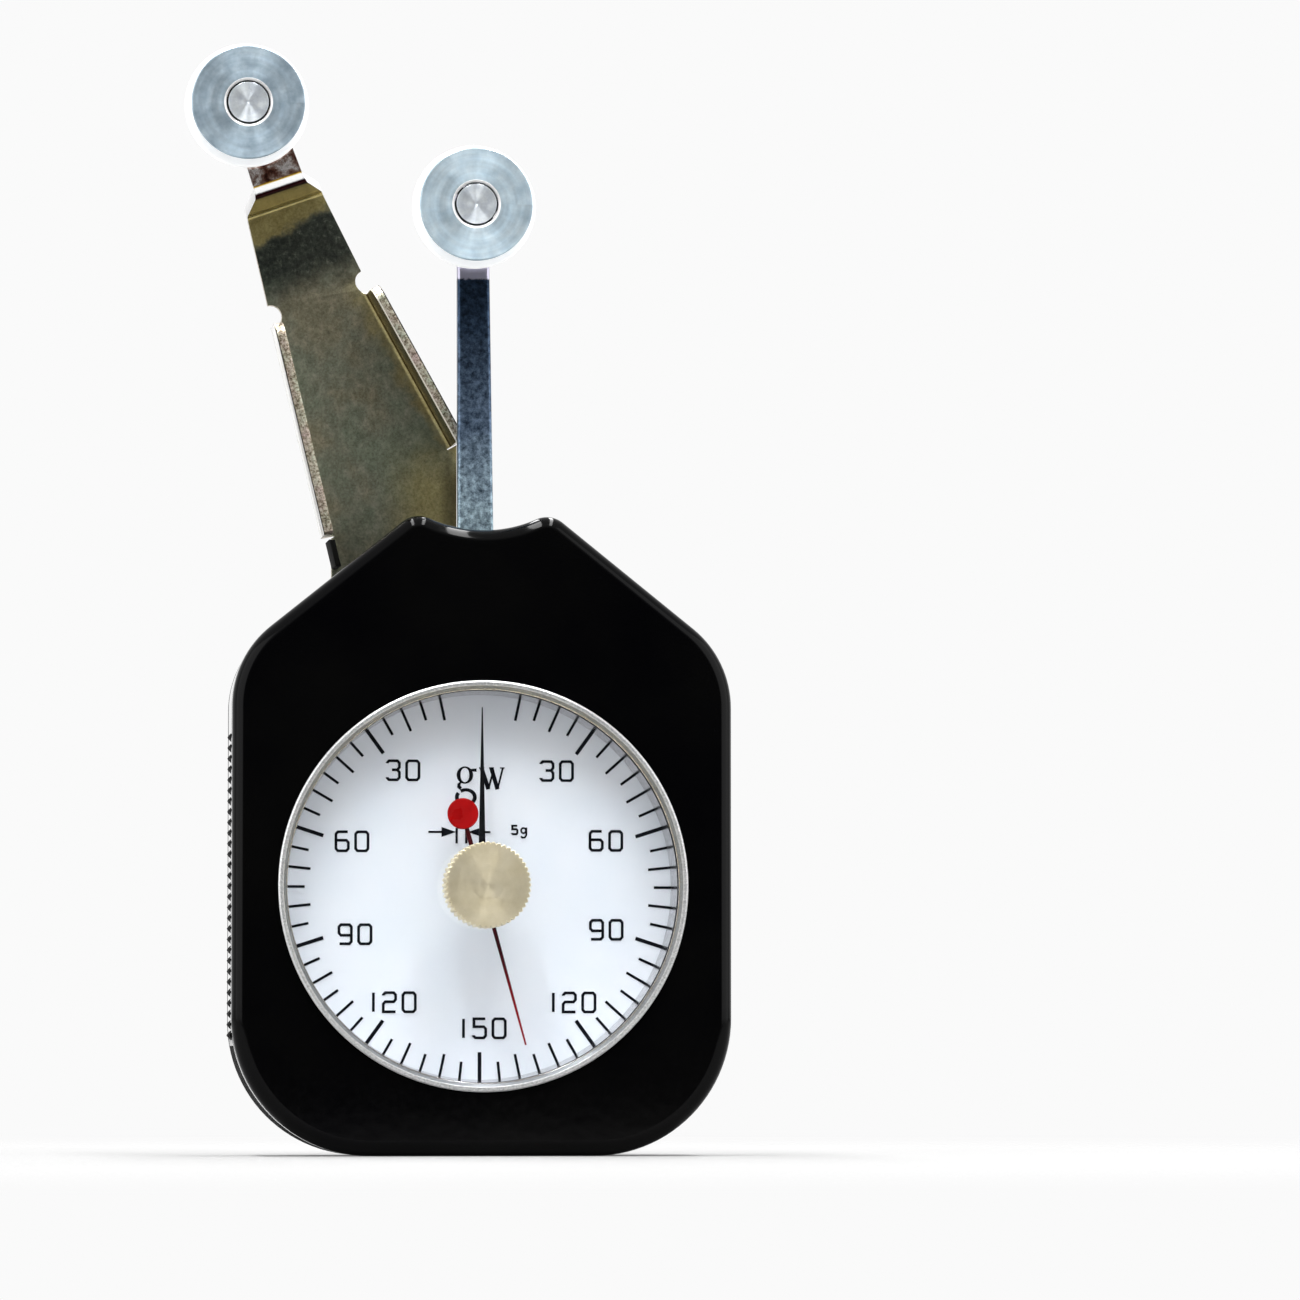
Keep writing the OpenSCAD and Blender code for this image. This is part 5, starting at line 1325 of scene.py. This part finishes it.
# small hardware
for node, body in (
    ("case_screws", "case"), ("back_plate_screws", "case"), ("bracket_screws", "case"),
    ("fixed_roller_nut", "case"), ("lever_roller_nut", "lever"),
):
    softenedCopy(node, finish["steel"], body)

discForm = {"radius": 1.93, "thick": 0.25, "edge": 0.1, "round": 0.03}


def peakDisc():
    # an enamelled disc, moved onto the middle of its CAD node's back
    radius, thick, edge = discForm["radius"], discForm["thick"], discForm["edge"]
    low, high = np.array(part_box("peak_disc"))
    profile = [(0, -thick), (radius - edge, -thick), (radius, edge - thick), (radius, 0.0), (0, 0.0)]
    disc = turnedPiece(
        "peak_disc_enamel", profile, (0, 0), finish["pointerRed"], "peak", (), discForm["round"], 96, closed=False,
    )
    points = np.zeros(len(disc.data.vertices) * 3)
    disc.data.vertices.foreach_get("co", points)
    shift = [(low[0] + high[0]) / 2, high[1], (low[2] + high[2]) / 2]
    disc.data.vertices.foreach_set("co", (points.reshape(-1, 3) + shift).ravel())
    disc.data.update()
    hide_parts("peak_disc")


peakDisc()

# CAD nodes whose shape is right keep it and get their material
nodeFinish = {
    "dialWhite": ["dial_plate"],
    "dialInk": ["dial_marks"],
    "pointerBlack": ["main_pointer"],
    "pointerMaroon": ["peak_pointer"],
    "gasketGrey": ["crystal_gasket"],
    "brass": [
        "crystal_bush", "movement_front_plate", "movement_back_plate", "movement_pillars", "lever_collet",
        "sector_gear", "lever_bushes", "pointer_bushes", "pointer_pinion", "spring_collet", "hairspring_collet",
    ],
    "steel": [
        "front_plate_screws", "lever_arbor", "pointer_arbor", "stop_pins", "spring_stud", "hairspring_stud",
        "peak_spindle", "fixed_roller_spacer", "lever_roller_spacer",
    ],
    "springSteel": ["measuring_spring", "hairspring"],
    "bearingSteel": [
        which + "_bearing_" + part for which in ("fixed", "lever") for part in ("outer", "inner", "balls")
    ],
}
for key, nodes in nodeFinish.items():
    for node in nodes:
        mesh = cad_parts[node].data
        mesh.materials.clear()
        mesh.materials.append(finish[key])
print("hardware and inner pieces finished")

# studio
studio = {
    "background": "FAFAFA", "paper": "959595", "size": 4.0,  # half the floor's width in metres
    "dark": 0.03, "front": 0.85, "back": 1.0,  # how bright the room is before, beside and behind the object
    "floorNear": 0.09, "floorFar": 0.3, "floorDark": -0.35,
    "strips": {"x": 0.23, "y": 0.05, "z": 0.9, "size": (0.12, 1.7), "power": 15.0},
    "sides": {"x": 0.7, "y": -0.35, "z": 0.25, "size": (0.9, 0.9), "power": 3.5},
    "sideAim": (0, 0, 0.065),
}


def softbox(name, place, side, aim=None):
    # a rectangular lamp on one side of the object; without an aim it points straight down
    lamp = bpy.data.lights.new(name, "AREA")
    lamp.shape = "RECTANGLE"
    lamp.size, lamp.size_y = place["size"]
    lamp.energy = place["power"]
    at = np.array([side * place["x"], place["y"], place["z"]])
    way = np.array(aim if aim else (at[0], at[1] + 0.0001, 0)) - at
    way = way / np.linalg.norm(way)
    obj = linkedObject(name, lamp)
    obj.location = at
    obj.rotation_euler = (math.acos(-way[2]), 0, math.atan2(-way[0], way[1]))


for word, side in (("Left", -1), ("Right", 1)):
    softbox("strip" + word, studio["strips"], side)
    softbox("side" + word, studio["sides"], side, studio["sideAim"])


def studioWorld():
    # the camera sees the plain backdrop; light and reflections come from a room that is dark on the
    # photographer's side
    world = bpy.data.worlds.new("studioRoom")
    bpy.context.scene.world = world
    world.use_nodes = True
    world.node_tree.nodes.clear()
    add = lambda kind, settings=None, output=0: addNode(world.node_tree, kind, settings, output)
    y = add("SeparateXYZ", {0: add("TexCoord", None, "Generated")}, "Y")
    steps = ((-0.93, -0.7, studio["dark"], studio["front"]), (0.0, 0.3, 0.0, studio["back"] - studio["front"]))
    parts = [
        add("MapRange", {**smooth, "Value": y, "From Min": low, "From Max": high, "To Min": a, "To Max": b})
        for low, high, a, b in steps
    ]
    bright = add("Math", {"operation": "ADD", 0: parts[0], 1: parts[1]})
    room = add("Background", {"Color": "FFFFFF", "Strength": bright})
    shown = add("Background", {"Color": studio["background"], "Strength": 1.0})
    add("OutputWorld", {"Surface": add("MixShader", {0: add("LightPath", None, "Is Camera Ray"), 1: room, 2: shown})})


def studioFloor():
    # the floor takes the object's shadow near it and melts into the backdrop further out; reflections see it
    # dark on the photographer's side
    s = studio["size"]
    mesh = gridMesh("floor", np.array([[(-s, -s, -0.00002), (s, -s, -0.00002)], [(-s, s, -0.00002), (s, s, -0.00002)]]))
    mat, add, where = newMaterial("paperFloor")
    paper = add("BsdfPrincipled", {"Base Color": studio["paper"], "Roughness": 0.9, "Specular IOR Level": 0.1})
    away = add("VectorMath", {"operation": "LENGTH", 0: where}, "Value")
    y = add("SeparateXYZ", {0: where}, "Y")
    near, far, edge = studio["floorNear"], studio["floorFar"], studio["floorDark"]
    melt = {"Value": away, "From Min": near, "From Max": far, "To Min": 0.12, "To Max": 1.0}
    gloom = {"Value": y, "From Min": edge, "From Max": edge - 0.1}
    surface = paper
    for span, ray, colour in ((melt, "Is Camera Ray", studio["background"]), (gloom, "Is Glossy Ray", "272727")):
        part = add("MapRange", {**smooth, **span})
        part = add("Math", {"operation": "MULTIPLY", 0: part, 1: add("LightPath", None, ray)})
        surface = add("MixShader", {0: part, 1: surface, 2: add("Emission", {"Color": colour, "Strength": 1.0})})
    add("OutputMaterial", {"Surface": surface})
    mesh.materials.append(mat)
    linkedObject("paperFloor", mesh)


studioWorld()
studioFloor()
print("studio made")
